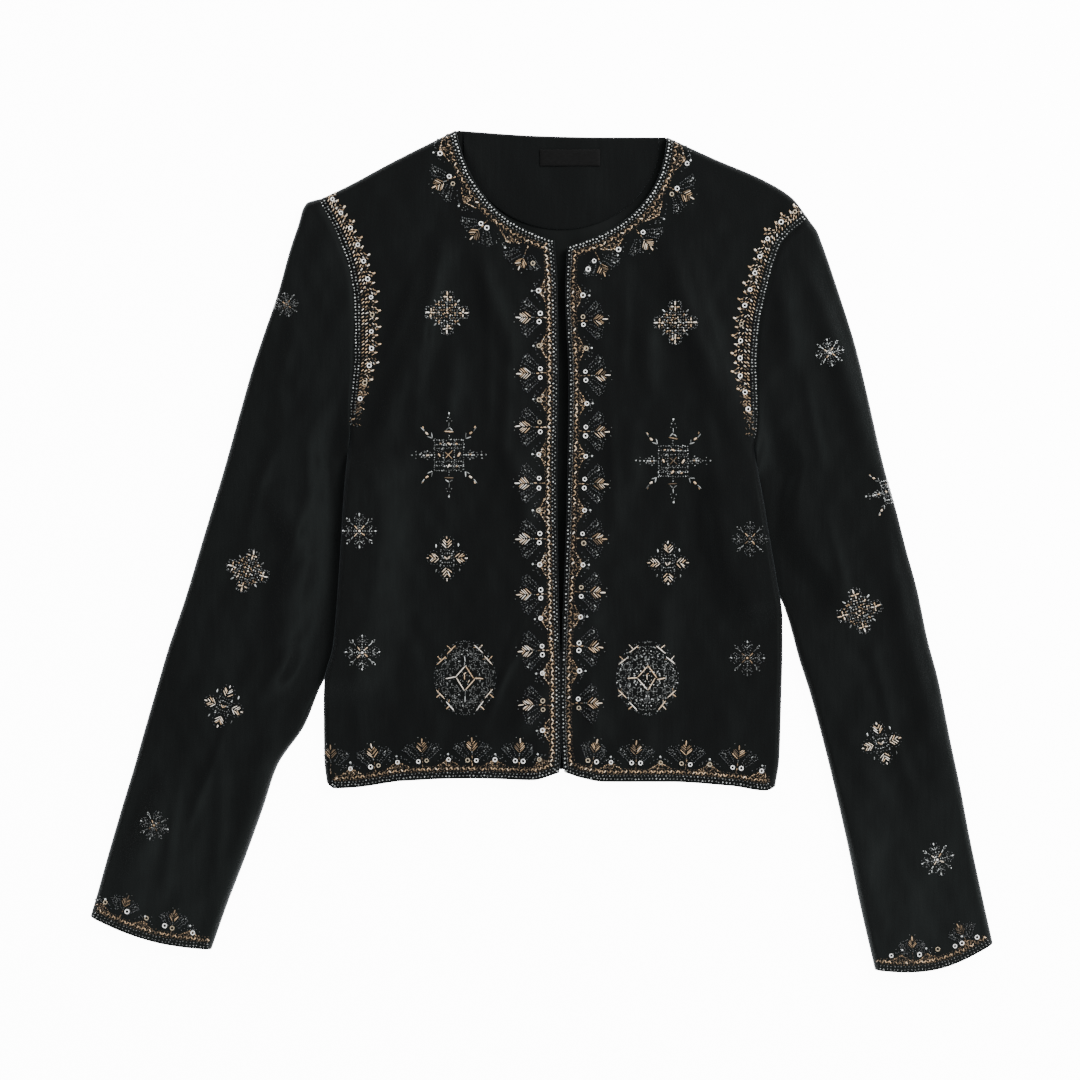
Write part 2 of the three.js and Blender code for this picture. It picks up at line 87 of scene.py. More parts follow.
# How far a sleeve goes under the body: at the armhole, below the underarm, at the armpit and at the shoulder
SEAM_UNDER, ARM_UNDER, ARMPIT_UNDER, SHOULDER_UNDER = 0.9, 1.3, 6.0, 1.2

# Depth and width of the groove at the armhole, strength of the creases, and how far each rim stands out
GROOVE_DEEP, GROOVE_WIDE = 1.1, 2.2
CREASE_STRENGTH = 1.3
OPEN_RIM, SEAM_RIM = 0.9, 0.2

# How much paler the pile is on the sleeves, and near the cuffs
SLEEVE_PALER, CUFF_PALER = 0.05, 0.13

# The wearer's right half. Side and front edge: share of the way up, x, y. Hem and shoulder: x, y.
# Sleeve: x and y of the outer edge, x and y of the inner edge, from the shoulder down to the cuff.
RIGHT = {
    "name": "right",
    "outward": -1,
    "side": [
        (0, -172.5, -184), (0.05, -174.5, -166), (0.15, -175, -125), (0.2, -174, -103), (0.27, -167, -74),
        (0.4, -162.5, -20), (0.55, -158.5, 45), (0.66, -154.5, 94), (0.72, -153, 122), (0.8, -150, 160),
        (0.87, -150.3, 198), (0.92, -154, 225), (0.96, -162.5, 250), (1, -179, 282),
    ],
    "edge": [
        (0, 13, -176), (0.05, 14.6, -155), (0.15, 14.6, -112), (0.27, 13.2, -62), (0.4, 12, -10),
        (0.55, 11.2, 58), (0.72, 12.3, 135), (0.87, 11.5, 212), (0.93, 9, 249),
    ],
    "hem": [
        (-172.5, -184), (-166, -188.3), (-150, -187.5), (-105, -181.6), (-54, -180.3), (-8, -181.6),
        (13, -176),
    ],
    "shoulder": [(-179, 282), (-156, 293), (-118, 313.4), (-69.6, 337.6)],
    "neck_point": (-69.6, 337.6),
    "neck_bow": (-56.8, 268.2),
    "tuck": (90, 60, -98, -128),
    "cuff_bow": 6,
    "sleeve": [
        (-179.3, 281.5, -154.7, 94.2), (-187, 280.5, -155.15, 91), (-191.5, 275, -155.35, 88.5),
        (-195, 263, -155.5, 86), (-202, 242, -155.8, 82.5), (-212, 206, -156.35, 76),
        (-222.4, 175.8, -156.95, 69), (-232.6, 145, -157.9, 58), (-242.7, 109.4, -152, 40),
        (-256, 62, -146, 12), (-270, 16, -146, -16), (-286, -37.5, -150, -48), (-300, -79, -162, -80),
        (-309, -110, -177.5, -108), (-318, -141, -190, -138.5), (-327, -173, -212, -171.5),
        (-337, -206, -223, -204), (-347.4, -241.6, -237, -243), (-357, -276, -252, -282),
        (-361.5, -291, -264.5, -317.5),
    ],
}

# The wearer's left half
LEFT = {
    "name": "left",
    "outward": 1,
    "side": [
        (0, 187, -187), (0.05, 190.2, -166), (0.15, 191.6, -125), (0.27, 192.8, -74), (0.33, 192.4, -52),
        (0.4, 187.5, -22), (0.55, 177.5, 38), (0.66, 171, 84), (0.72, 172.8, 110), (0.8, 171.6, 148),
        (0.87, 174, 183), (0.92, 181, 215), (0.96, 191, 246), (1, 213, 267.5),
    ],
    "edge": [
        (0, 18.5, -175.5), (0.05, 16.6, -155), (0.15, 15.8, -112), (0.27, 16.9, -66), (0.4, 19, -10),
        (0.55, 21, 58), (0.72, 22.1, 135), (0.87, 19.4, 210), (0.93, 21, 244.5),
    ],
    "hem": [
        (18.5, -175.5), (31.6, -179.8), (50, -183), (100, -183), (151, -186.2), (179, -190), (187, -187),
    ],
    "shoulder": [(100.8, 332), (138.7, 314.7), (177, 298.2), (200, 284), (213, 267.5)],
    "neck_point": (100.8, 332),
    "neck_bow": (97, 264),
    "tuck": (80, 50, -38, -68),
    "cuff_bow": 10,
    "sleeve": [
        (213.6, 266.5, 171.2, 84.2), (217, 262, 171.5, 81), (220.3, 257.4, 171.6, 78.5),
        (224, 248, 171.85, 75), (228, 237, 172.3, 71), (238.2, 206.4, 173.45, 63), (251, 165.6, 175.1, 54),
        (261, 124.8, 176.9, 44), (267, 98, 171, 22), (273.9, 68.6, 168, -2), (284, 32.8, 175, -20),
        (291.8, 2.2, 191.5, -38), (300.7, -30.4, 197, -53), (309, -70, 206, -86),
        (317.3, -101.3, 214, -111), (327.5, -152.2, 226, -155), (335.1, -188, 236, -196),
        (342.8, -228.8, 245, -236), (352, -272, 254.5, -282), (361, -312.5, 266.5, -334),
    ],
}
HALVES = (RIGHT, LEFT)

# Hem and neck of the back: x, y
BACK_HEM = [(-172.5, -184), (-150, -184), (0, -175), (20, -173.5), (60, -176), (150, -184), (187, -187)]
BACK_NECK = [(-69.6, 337.6), (0, 333), (50, 332), (100.8, 332)]

# Folds of the upper layer: x and y where each starts and ends, its bow, its width and its height
FOLDS = [
    (-76, 257, -146, 55, 4, 12, 3.5), (-56, 245, -19, 147, 0, 9, 2.5), (-71, 165, -74, 96, 0, 8, 2),
    (-31, 96, -7, 4, 3, 10, 3), (-28, -150, 3, -108, 0, 9, 2.5), (98, 260, 168, 72, -6, 13, 5),
    (85, 205, 84, 115, 0, 9, 2.5), (73, 110, 70, 45, 0, 9, 2), (133, 60, 149, -30, 0, 11, 3),
    (-222, 52, -190, -5, 3, 12, 3), (-184, 14, -213, -86, -4, 12, 3.5), (-196, -74, -216, -116, 0, 9, 3),
    (-211, -126, -262, -306, 5, 11, 3), (-294, -170, -331, -260, 0, 11, 2.5), (202, 250, 268, 50, 5, 10, 3.5),
    (188, 232, 201, 140, 0, 10, 2.5), (280, 8, 334, -204, -4, 11, 3), (245, -204, 270, -306, 0, 10, 2.5),
]

# Thin creases of the velvet alone, in the same columns
CREASES = [
    (-96, 243, -130, 142, 3, 6, 0.9), (-75, 264, -104, 79, -4, 5, 0.8), (-50, 264, -45, 79, 5, 4.5, 0.6),
    (-22, 188, -30, 45, -3, 5, 0.8), (-7, -65, -45, -141, -5, 3, 0.7), (-12, -48, -36, -128, -4, 2.4, 0.4),
    (49, 159, 56, 3, 4, 6, 0.9), (91, -18, 102, -115, 0, 8, 0.9), (115, 264, 165, 104, -5, 6, 0.9),
    (66, 236, 60, 120, 3, 4.5, 0.6), (38, -96, 44, -150, 0, 4, 0.5), (-128, 60, -140, -70, 5, 7, 0.7),
    (-256, -150, -265, -293, 3, 6, 0.9), (-281, -149, -303, -284, -3, 5, 0.8),
    (-245, -120, -290, -240, 0, 4, 0.6), (-185, 62, -214, -31, 4, 5, 0.9), (-206, 96, -236, 10, -4, 5, 0.8),
    (-196, 190, -214, 110, 0, 6, 0.6), (237, 197, 292, -82, 6, 6, 0.9), (208, 150, 226, 60, 0, 5, 0.7),
    (262, -60, 300, -200, -4, 5, 0.7), (222, 40, 246, -60, 4, 4.5, 0.7), (128, 150, 150, 20, -4, 6, 0.7),
    (-150, -100, -140, -170, 0, 6, 0.5),
]

# The facing inside the neck, and the label on it
FACING = {"middle": 15.5, "half_width": 80, "depth": 74, "top": 333, "inset": 0.6, "cloth": 1.0}
LABEL = {"x": 22.4, "y": 316, "wide": 48, "tall": 13, "thick": 0.6, "above": 0.3}

# Start of the cloth's unevenness
SEED = 20

# Kinds of trimming and the ends of their names, and how far each piece of it may be off its place
THREAD, SILVER, DARK, SEQUIN = range(4)
KINDS = ("thread", "silver_beads", "dark_beads", "sequins")
UNEVEN = 0.22

# Tones, each times a random painted glint: from which a stitch always gets a strong painted glint, the highest
# one, and the share and the tone of sequins without a painted reflection, which stay dull gold
ACCENT, TONE_LIMIT = 1.15, 1.5
NO_REFLECTION_SHARE, NO_REFLECTION_TONE = 0.27, 0.32

# The camera's lens and sensor, the height at which it keeps the photograph's scale, and the floor's glow
LENS, SENSOR = 85, 36
SCALE_HEIGHT = 0.008
FLOOR_GLOW = 12.0


def ramp(low, high, value):
    """Rises from 0 at one value to 1 at the other, as three squares of the share less two cubes."""
    share = np.clip((value - low) / (high - low), 0, 1)
    return share * share * (3 - 2 * share)


def reading(rows, column, where, along=0):
    """A smooth curve through a table that never overshoots its rows: on each span a cubic, whose slope at a
    row is the harmonic mean of the slopes on both sides of it, or nothing where those change sign."""
    table = np.asarray(rows, float)
    steps, values = table[:, along], table[:, column]
    span, rise = np.diff(steps), np.diff(values)
    secant = rise / span
    before, after = secant[:-1], secant[1:]
    same = before * after > 0
    inner = np.where(same, 2 * before * after / np.where(same, before + after, 1), 0)
    slope = np.concatenate([secant[:1], inner, secant[-1:]])
    k = np.searchsorted(steps[1:-1], where)
    t = np.clip((where - steps[k]) / span[k], 0, 1)
    bend = (slope[k] * span[k] - rise[k]) * (1 - t) - (slope[k + 1] * span[k] - rise[k]) * t
    return values[k] + rise[k] * t + t * (1 - t) * bend


def side_line(half, up):
    """Side seam and armhole of one half, read from its table at a share of the way up."""
    up = np.asarray(up, float)
    return reading(half["side"], 1, up), reading(half["side"], 2, up)


def edge_line(half, up):
    """Front edge read from its table up to the corner, then the neckline, a square curve from the corner to
    the neck point that is drawn towards its bow point."""
    up = np.asarray(up, float)
    t = np.clip((up - NECK_CORNER) / (1 - NECK_CORNER), 0, 1)
    line = []
    for key in (0, 1):
        corner, bow, end = half["edge"][-1][key + 1], half["neck_bow"][key], half["neck_point"][key]
        neck = (1 - t) ** 2 * corner + 2 * t * (1 - t) * bow + t * t * end
        line.append(np.where(up <= NECK_CORNER, reading(half["edge"], key + 1, up), neck))
    return line


def panel_plan(up, share, near, far, hem_y, top_y):
    """Plan of a panel: straight across between its two upright edges, and then moved along Y so that its
    lowest row follows the hem and its highest row the top, each fading out with the way up."""
    (ax, ay), (bx, by) = near(up), far(up)
    x = ax[:, None] + (bx - ax)[:, None] * share
    y = ay[:, None] + (by - ay)[:, None] * share
    dip = hem_y(x[0]) - y[0]
    rise = top_y(x[-1]) - y[-1]
    rows = up[:, None]
    return x, y + dip * (1 - rows) ** 2 + rise * rows**3


def away_from(lines, x, y):
    """Distance of every point from the closest of several seam lines, and the direction away from it."""
    middle_x, middle_y = x.mean(), y.mean()
    closest = np.full(x.shape, np.inf)
    away_x, away_y = np.zeros(x.shape), np.zeros(x.shape)
    for line in lines:
        for start, end in zip(line[:-1], line[1:]):
            run_x, run_y = end - start
            length = np.hypot(run_x, run_y)
            share = np.clip(((x - start[0]) * run_x + (y - start[1]) * run_y) / length**2, 0, 1)
            off_x, off_y = x - start[0] - run_x * share, y - start[1] - run_y * share
            distance = np.hypot(off_x, off_y)
            facing = np.sign(run_x * (middle_y - start[1]) - run_y * (middle_x - start[0]))
            touching = distance < 0.05
            closer = distance < closest
            held = np.maximum(distance, 1e-9)
            away_x = np.where(closer, np.where(touching, -run_y * facing / length, off_x / held), away_x)
            away_y = np.where(closer, np.where(touching, run_x * facing / length, off_y / held), away_y)
            closest = np.where(closer, distance, closest)
    return closest, away_x, away_y


def wall_layers(x, y, away, radius, side, raised, gap, cloth):
    """Outer and inner surface of a wall that turns over a rounded edge. At the edge the wall stands upright,
    and a quarter turn further in it lies flat, at the full height on top and at nothing below."""
    distance, away_x, away_y = away
    turn = np.arccos(1 - np.minimum(distance, radius) / radius)
    parted = side * gap / 2 * np.cos(turn) ** 2
    layers = []
    for depth in (0, cloth):
        shift = depth * np.cos(turn)
        z = radius + parted + side * (radius - depth) * np.sin(turn) + raised
        layers.append(np.stack([x + away_x * shift, y + away_y * shift, z], -1))
    return layers


def tucked(half, y):
    """How much of its full height the tuck over the sleeve's inner edge has at this height of the body."""
    start, full, leaves, end = half["tuck"]
    return ramp(start, full, y) * (1 - ramp(leaves, end, y))


def body_lift(x, y):
    """Lift of the body over the sleeve edge under its side, full at the side and gone further in."""
    lift = np.zeros(x.shape)
    for half in HALVES:
        from_side = (reading(half["side"], 1, y, along=2) - x) * half["outward"]
        there = np.where(x < 0, -1, 1) == half["outward"]
        lift += there * TUCK_LIFT * tucked(half, y) * (1 - ramp(TUCK_FULL, TUCK_END, from_side))
    return lift


def fold_height(x, y, folds=FOLDS):
    """Soft ridges. Each one is a bell across its line and half a wave along it, and the line may bow."""
    height = np.zeros(x.shape)
    for x0, y0, x1, y1, bow, width, high in folds:
        run_x, run_y = x1 - x0, y1 - y0
        length = np.hypot(run_x, run_y)
        along = np.clip(((x - x0) * run_x + (y - y0) * run_y) / length**2, 0, 1)
        across = ((y - y0) * run_x - (x - x0) * run_y) / length - 4 * bow * along * (1 - along)
        height += high * np.sin(np.pi * along) * np.exp(-((across / width) ** 2))
    return height


def crumple(x, y, lean):
    """Fine unevenness of laid cloth: seeded sine waves of 16 to 60 mm, most of them across the grain, whose
    strength drifts over the piece. Lean is the angle of the grain."""
    rng = np.random.default_rng(SEED)
    count = 22
    wave = rng.uniform(16, 60, count)
    angle = lean + rng.normal(0, 0.42, count)
    phase = rng.uniform(0, 2 * np.pi, (2, count))
    points = np.stack([x, y], -1)[..., None, :]
    across = (points * np.stack([np.cos(angle), np.sin(angle)], -1)).sum(-1)
    drift = (points * np.stack([np.sin(angle * 3), np.cos(angle * 2)], -1)).sum(-1)
    waves = np.sin(2 * np.pi * across / wave + phase[0]) * np.sin(2 * np.pi * drift / (wave * 4.5) + phase[1])
    return (waves * wave / 60).sum(-1)


def spaced(*stops):
    """Values that run evenly between each pair of stops. A stop is a value and the number of steps to it."""
    values = [np.array([stops[0]], float)]
    for end, steps in stops[1:]:
        values.append(np.linspace(values[-1][-1], end, steps + 1)[1:])
    return np.concatenate(values)


def grid_faces(index):
    """Four-sided faces between the neighbouring rows and columns of a grid of point numbers."""
    corners = (index[:-1, :-1], index[:-1, 1:], index[1:, 1:], index[1:, :-1])
    return np.stack([corner.ravel() for corner in corners], 1)


def closed(index):
    """A grid of point numbers with its first column once more at its end."""
    return np.concatenate([index, index[:, :1]], 1)


def rim_loop(rows, columns, is_tube):
    """Rows and columns of the border points of a grid, in the order in which its faces run round them."""
    across, back = np.arange(columns), np.arange(columns)[::-1]
    if is_tube:
        closing = np.append(across, 0)
        return [(closing * 0, closing), (closing * 0 + rows - 1, closing[::-1])]
    up, down = np.arange(rows), np.arange(rows)[::-1]
    around = (
        np.concatenate([across * 0, up[1:], back[1:] * 0 + rows - 1, down[1:]]),
        np.concatenate([across, up[1:] * 0 + columns - 1, back[1:], down[1:] * 0]),
    )
    return [around]


def shell_mesh(name, outer, inner, swell, is_tube=False):
    """Closed wall of cloth: an outer and an inner surface, joined round each border by a half-round rim. A
    point of the rim is the middle of the edge, plus half the cloth's depth times the cosine of the way
    round, plus the swell times its sine, away from the cloth. The inner surface has the second material."""
    rows, columns = outer.shape[:2]
    index = np.arange(rows * columns).reshape(rows, columns)
    seen = closed(index) if is_tube else index
    points = [outer.reshape(-1, 3), inner.reshape(-1, 3)]
    outside = grid_faces(seen)
    inside = grid_faces(seen)[:, ::-1] + rows * columns
    rims = []
    count = 2 * rows * columns
    for loop_row, loop_column in rim_loop(rows, columns, is_tube):
        top, low = outer[loop_row, loop_column], inner[loop_row, loop_column]
        held_row = np.clip(loop_row, 1, rows - 2)
        held_column = loop_column if is_tube else np.clip(loop_column, 1, columns - 2)
        outward = top - outer[held_row, held_column]
        outward /= np.maximum(np.linalg.norm(outward, axis=1), 1e-9)[:, None]
        bulge = outward * swell[loop_row, loop_column][:, None]
        levels = [index[loop_row, loop_column]]
        for way in np.radians([45, 90, 135]):
            ring = (top + low) / 2 + (top - low) / 2 * np.cos(way) + bulge * np.sin(way)
            points.append(ring[:-1])
            levels.append(count + np.append(np.arange(len(ring) - 1), 0))
            count += len(ring) - 1
        levels.append(levels[0] + rows * columns)
        for near, far in zip(levels, levels[1:]):
            rims.append(np.stack([near[1:], near[:-1], far[:-1], far[1:]], 1))
    places = np.concatenate(points)
    faces = np.concatenate([outside, *rims, inside])
    a, b, c, d = (places[faces[:, k]] for k in range(4))
    volume = np.einsum("ij,ij->", a, np.cross(b, c)) + np.einsum("ij,ij->", a, np.cross(c, d))
    if volume < 0:
        faces = faces[:, ::-1]
    lined = np.arange(len(faces)) >= len(faces) - len(inside)
    # Point values of the velvet's colour: painted fold shade on the outer surface, plus the paler sleeves, and
    # a plain half on the lining and the rims.
    paleness_and_painted_shade = np.full(len(places), 0.5)
    paleness_and_painted_shade[: rows * columns] = painted_fold_shade(outer).ravel() + (SLEEVE_PALER if is_tube else 0)
    made = new_object(name, (places + frame_shift()) * MM, faces.tolist(), "paleness_and_painted_shade", paleness_and_painted_shade)
    made.data.polygons.foreach_set("material_index", lined.astype(int))
    return made


def painted_fold_shade(surface):
    """Painted shade of the velvet on each point: a half, plus a share of the surface's slope to the right and
    up, so that one flank of a fold is painted paler and the other painted darker, as light and shade would fall
    on it. It fades where the cloth turns down at an edge, and is a little paler near the cuffs."""
    down, across = np.gradient(surface, axis=0), np.gradient(surface, axis=1)
    normal = np.cross(across, down)
    normal /= np.maximum(np.linalg.norm(normal, axis=2, keepdims=True), 1e-9)
    normal *= np.sign(normal[..., 2:3])
    # The normal's lean, which paints one flank of a fold paler and the other darker.
    lean = normal[..., 0] * 0.7 + normal[..., 1] * -0.2
    towards_cuff = CUFF_PALER * ramp(-120, -300, surface[..., 1])
    return np.clip(0.5 + lean * ramp(0.9, 0.97, normal[..., 2]) + towards_cuff, 0, 1)


def frame_shift():
    """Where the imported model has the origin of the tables: the corner of the back against its own numbers."""
    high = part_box("back")[1]
    return np.array([high.x / MM - LEFT["side"][-1][1], high.y / MM - BACK_NECK[0][1], 0])


def new_object(name, places, faces, layer, values):
    """A smooth mesh object at the origin, with its place in its points and a value of its own on each one."""
    mesh = bpy.data.meshes.new(name)
    mesh.from_pydata(places.tolist(), [], faces)
    mesh.polygons.foreach_set("use_smooth", np.ones(len(mesh.polygons), bool))
    mesh.attributes.new(layer, "FLOAT", "POINT").data.foreach_set("value", values)
    mesh.update()
    made = bpy.data.objects.new(name, mesh)
    bpy.context.collection.objects.link(made)
    return made


def seam_rows(x, y, up, column):
    """Points of one upright edge of a panel up to the underarm."""
    keep = up <= UNDERARM + 1e-6
    return np.stack([x[keep, column], y[keep, column]], 1)


def armhole_sink(x, y, half):
    """Groove of the armhole seam on a front."""
    line = np.stack(side_line(half, np.linspace(UNDERARM + 0.01, 0.995, 60)), 1)
    return groove(away_from([line], x, y)[0])


def groove(distance):
    """Depth of a groove: a bell of the distance from its middle."""
    return GROOVE_DEEP * np.exp(-((distance / GROOVE_WIDE) ** 2))


def fine_relief(x, y, strength, lean):
    """The thin creases and the fine unevenness of laid cloth, added up."""
    return CREASE_STRENGTH * fold_height(x, y, CREASES) + strength * crumple(x, y, lean)


# Rows of a panel from the hem up: the first share of the way, then pairs of a share and the steps up to it
PANEL_UP = (
    0, (0.004, 2), (0.64, 116), (0.656, 5), (UNDERARM, 3), (0.664, 3), (0.68, 6), (0.9, 42), (NECK_CORNER, 8),
    (0.98, 20), (0.992, 8), (0.997, 5), (0.9988, 3), (0.9996, 3), (1, 2),
)


def front_surface(half, cloth, strength):
    """Outer and inner surface of a front, and the swell of its rim."""
    up = spaced(*PANEL_UP)
    share = spaced(0, (0.004, 3), (0.016, 4), (0.03, 3), (0.985, 70), (1, 3))
    near = lambda level: side_line(half, level)
    far = lambda level: edge_line(half, level)
    hem_y = lambda x: reading(half["hem"], 1, x)
    top_y = lambda x: reading(half["shoulder"], 1, x)
    x, y = panel_plan(up, share, near, far, hem_y, top_y)
    seams = [seam_rows(x, y, up, 0), np.stack([x[-1], y[-1]], 1)]
    away = away_from(seams, x, y)
    fade = 1 - np.exp(-away[0] / FOLD_FADE)
    raised = body_lift(x, y) + fade * (fold_height(x, y) + fine_relief(x, y, strength, 0.0))
    raised -= armhole_sink(x, y, half) * (away[0] > 0.5)
    outer, inner = wall_layers(x, y, away, ROUND, 1, raised, SEAM, cloth)
    swell = np.full(x.shape, OPEN_RIM)
    swell[:, 0] = np.where(up <= UNDERARM + 0.004, 0.0, SEAM_RIM)
    swell[-1] = 0
    return outer, inner, swell


def back_top_y(x):
    """Top of the back: one shoulder, the back of the neck and the other shoulder."""
    neck = reading(BACK_NECK, 1, x)
    right, left = reading(RIGHT["shoulder"], 1, x), reading(LEFT["shoulder"], 1, x)
    return np.where(x <= BACK_NECK[0][0], right, np.where(x >= BACK_NECK[-1][0], left, neck))


def back_surface(cloth):
    """Outer and inner surface of the back, with its outside down, and the swell of its rim."""
    up = spaced(*PANEL_UP)
    low, high = side_line(RIGHT, 1.0)[0], side_line(LEFT, 1.0)[0]
    neck = [(BACK_NECK[k][0] - low) / (high - low) for k in (0, -1)]
    share = spaced(
        0, (0.002, 3), (0.008, 4), (0.015, 3), (neck[0] - 0.01, 30), (neck[0], 5), (neck[0] + 0.012, 5),
        (neck[1] - 0.012, 46), (neck[1], 5), (neck[1] + 0.01, 5), (0.985, 30), (0.992, 3), (0.998, 4), (1, 3),
    )
    near = lambda level: side_line(RIGHT, level)
    far = lambda level: side_line(LEFT, level)
    x, y = panel_plan(up, share, near, far, lambda at: reading(BACK_HEM, 1, at), back_top_y)
    top = np.stack([x[-1], y[-1]], 1)
    shoulders = [top[share <= neck[0] + 1e-6], top[share >= neck[1] - 1e-6]]
    sides = [seam_rows(x, y, up, column) for column in (0, -1)]
    away = away_from([*sides, *shoulders], x, y)
    outer, inner = wall_layers(x, y, away, ROUND, -1, body_lift(x, y), SEAM, cloth)
    swell = np.zeros(x.shape)
    swell[0] = OPEN_RIM
    swell[-1] = np.where((share > neck[0] + 0.004) & (share < neck[1] - 0.004), OPEN_RIM, 0)
    return outer, inner, swell


def armhole_bow(half):
    """How far the armhole stands off the straight line from shoulder to underarm: share of the way, x, y."""
    x, y = side_line(half, np.linspace(1, UNDERARM, 80))
    run_x, run_y = x[-1] - x[0], y[-1] - y[0]
    run = ((x - x[0]) * run_x + (y - y[0]) * run_y) / (run_x**2 + run_y**2)
    return np.stack([run, x - x[0] - run_x * run, y - y[0] - run_y * run], 1)


def sleeve_plan(half, ring, run_of):
    """Plan of a sleeve: from the outer to the inner edge of each ring, bowed like the armhole at the head and
    like the cuff at the end. The head, also up under the shoulder, and the underarm go a millimetre under
    the body, which closes them, and the armpit, where the body starts to lift, six more."""
    rows = np.asarray(half["sleeve"], float)
    steps = np.arange(len(rows))
    out_x, out_y, in_x, in_y = (
        reading(np.stack([steps, rows[:, k]], 1), 1, ring)[:, None] for k in range(4)
    )
    width = np.hypot(in_x - out_x, in_y - out_y)
    inward_x, inward_y = (in_x - out_x) / width, (in_y - out_y) / width
    inner_height = LAID + (PRESSED - LAID) * tucked(half, in_y)
    run = run_of(width, inner_height / 2)
    share = run / width
    bow = armhole_bow(half)
    head = (1 - ramp(0, HEAD_RINGS, ring))[:, None]
    last = len(rows) - 1
    cuff = half["cuff_bow"] * ramp(last - CUFF_RINGS, last, ring)[:, None] * np.sin(np.pi * share)
    at_seam = (1 - ramp(0, 1, ring))[:, None]
    under_arm = share**6 * (1 - ramp(7.5, 9, ring))[:, None]
    armpit = share**6 * np.exp(-(((ring - ARMPIT_RING) / 1.5) ** 2))[:, None]
    under = np.maximum(SEAM_UNDER * at_seam, ARM_UNDER * under_arm) + ARMPIT_UNDER * armpit
    joined = -half["outward"] * under
    x = out_x + (in_x - out_x) * share + reading(bow, 1, share) * head + joined
    under_shoulder = SHOULDER_UNDER * at_seam * (1 - ramp(0.15, 0.45, share))
    y = out_y + (in_y - out_y) * share + reading(bow, 2, share) * head + under_shoulder
    x -= inward_y * half["outward"] * cuff
    y += inward_x * half["outward"] * cuff
    return x, y, run, width, (inward_x, inward_y), inner_height


def sleeve_surface(half, cloth, strength):
    """Outer and inner surface of a flattened sleeve: over the top from the outer edge to the inner one, and
    back along the flat underside, with a groove at both seams. Its inner edge is pressed down where the body
    lies on it."""
    ring = spaced(0, (0.15, 2), (3, 12), (7, 50), (18, 150), (18.9, 16), (19, 3))
    quarter = np.radians(np.linspace(0, 90, 9))
    top = np.linspace(0, 1, 56)[1:-1]
    low = np.linspace(0, 1, 20)[1:-1]

    def run_of(width, inner_round):
        """Distance of every column from the outer edge, ring by ring."""
        outer_end = ROUND * (1 - np.cos(quarter)) + 0 * width
        inner_end = width - inner_round * (1 - np.cos(quarter[::-1]))
        flat = width - ROUND - inner_round
        beside = WRAP + np.linspace(-WRAP_BESIDE, WRAP_BESIDE, 9) + 0 * width
        middle = (width - WRAP - WRAP_BESIDE) + (2 * WRAP + 2 * WRAP_BESIDE - width) * low
        parts = [outer_end, ROUND + flat * top, inner_end, inner_end[:, ::-1][:, 1:], width - beside]
        return np.concatenate([*parts, middle, beside[:, ::-1], outer_end[:, ::-1][:, :-1]], 1)

    x, y, run, width, inward, inner_height = sleeve_plan(half, ring, run_of)
    over = 2 * len(quarter) + len(top)
    side = np.where(np.arange(run.shape[1]) < over, 1, -1)
    from_inner = width - run
    blend = ramp(TUCK_FULL, PRESSED_END, from_inner)
    height = inner_height + (LAID - inner_height) * blend
    distance = np.minimum(run, from_inner)
    toward = np.where(run < from_inner, 1, -1)
    away = (distance, inward[0] * toward, inward[1] * toward)
    fine = fine_relief(x, y, strength, 0.3 * half["outward"])
    fine *= 1 - tucked(half, y) * (1 - blend)
    raised = (1 - np.exp(-distance / FOLD_FADE)) * (fold_height(x, y) * height / LAID + fine)
    raised -= groove(np.hypot(x - x[:1], y - y[:1])) * ramp(2, 12, distance)
    seam = 0.7 * np.exp(-(((distance - WRAP) / 1.1) ** 2))
    raised = np.where(side > 0, raised, seam)
    outer, inner = wall_layers(x, y, away, height / 2, side, raised, 0, cloth)
    swell = np.zeros(x.shape)
    swell[0], swell[-1] = SEAM_RIM, OPEN_RIM
    return outer, inner, swell


def facing_surface():
    """Half-moon facing: from an arc below the neck, half a turn of an ellipse, up to the back neck edge, with
    a faint wave of a sine along x and y."""
    angle = np.pi * np.linspace(0.07, 0.93, 90)
    rows = np.linspace(0, 1, 40)[:, None]
    x = FACING["middle"] - FACING["half_width"] * np.cos(angle)
    low = FACING["top"] - FACING["depth"] * np.sin(angle)
    high = reading(BACK_NECK, 1, x) - FACING["inset"]
    y = low + (high - low) * rows
    x = x + 0 * y
    base = WALL + SEAM + 0 * y
    wave = 0.25 * (1 + np.sin(x / 7 + y / 19)) * np.sin(np.pi * rows) ** 2
    outer = np.stack([x, y, base + FACING["cloth"] + wave], -1)
    return outer, np.stack([x, y, base], -1), np.full(x.shape, 0.4)


def label_surface():
    """Woven label: a flat strip whose top falls away at its edges, with the 16th power of the way out to a
    short edge and the 10th power of the way out to a long one."""
    across = np.linspace(-1, 1, 60)
    up = np.linspace(-1, 1, 24)[:, None]
    x = LABEL["x"] + LABEL["wide"] / 2 * across + 0 * up
    y = LABEL["y"] + LABEL["tall"] / 2 * up + 0 * across
    fall = (1 - across**16) * (1 - up**10)
    base = WALL + 2 * SEAM + FACING["cloth"] + LABEL["above"]
    outer = np.stack([x, y, base + LABEL["thick"] * (0.55 + 0.45 * fall)], -1)
    return outer, np.stack([x, y, base + 0 * x], -1), np.full(x.shape, 0.15)


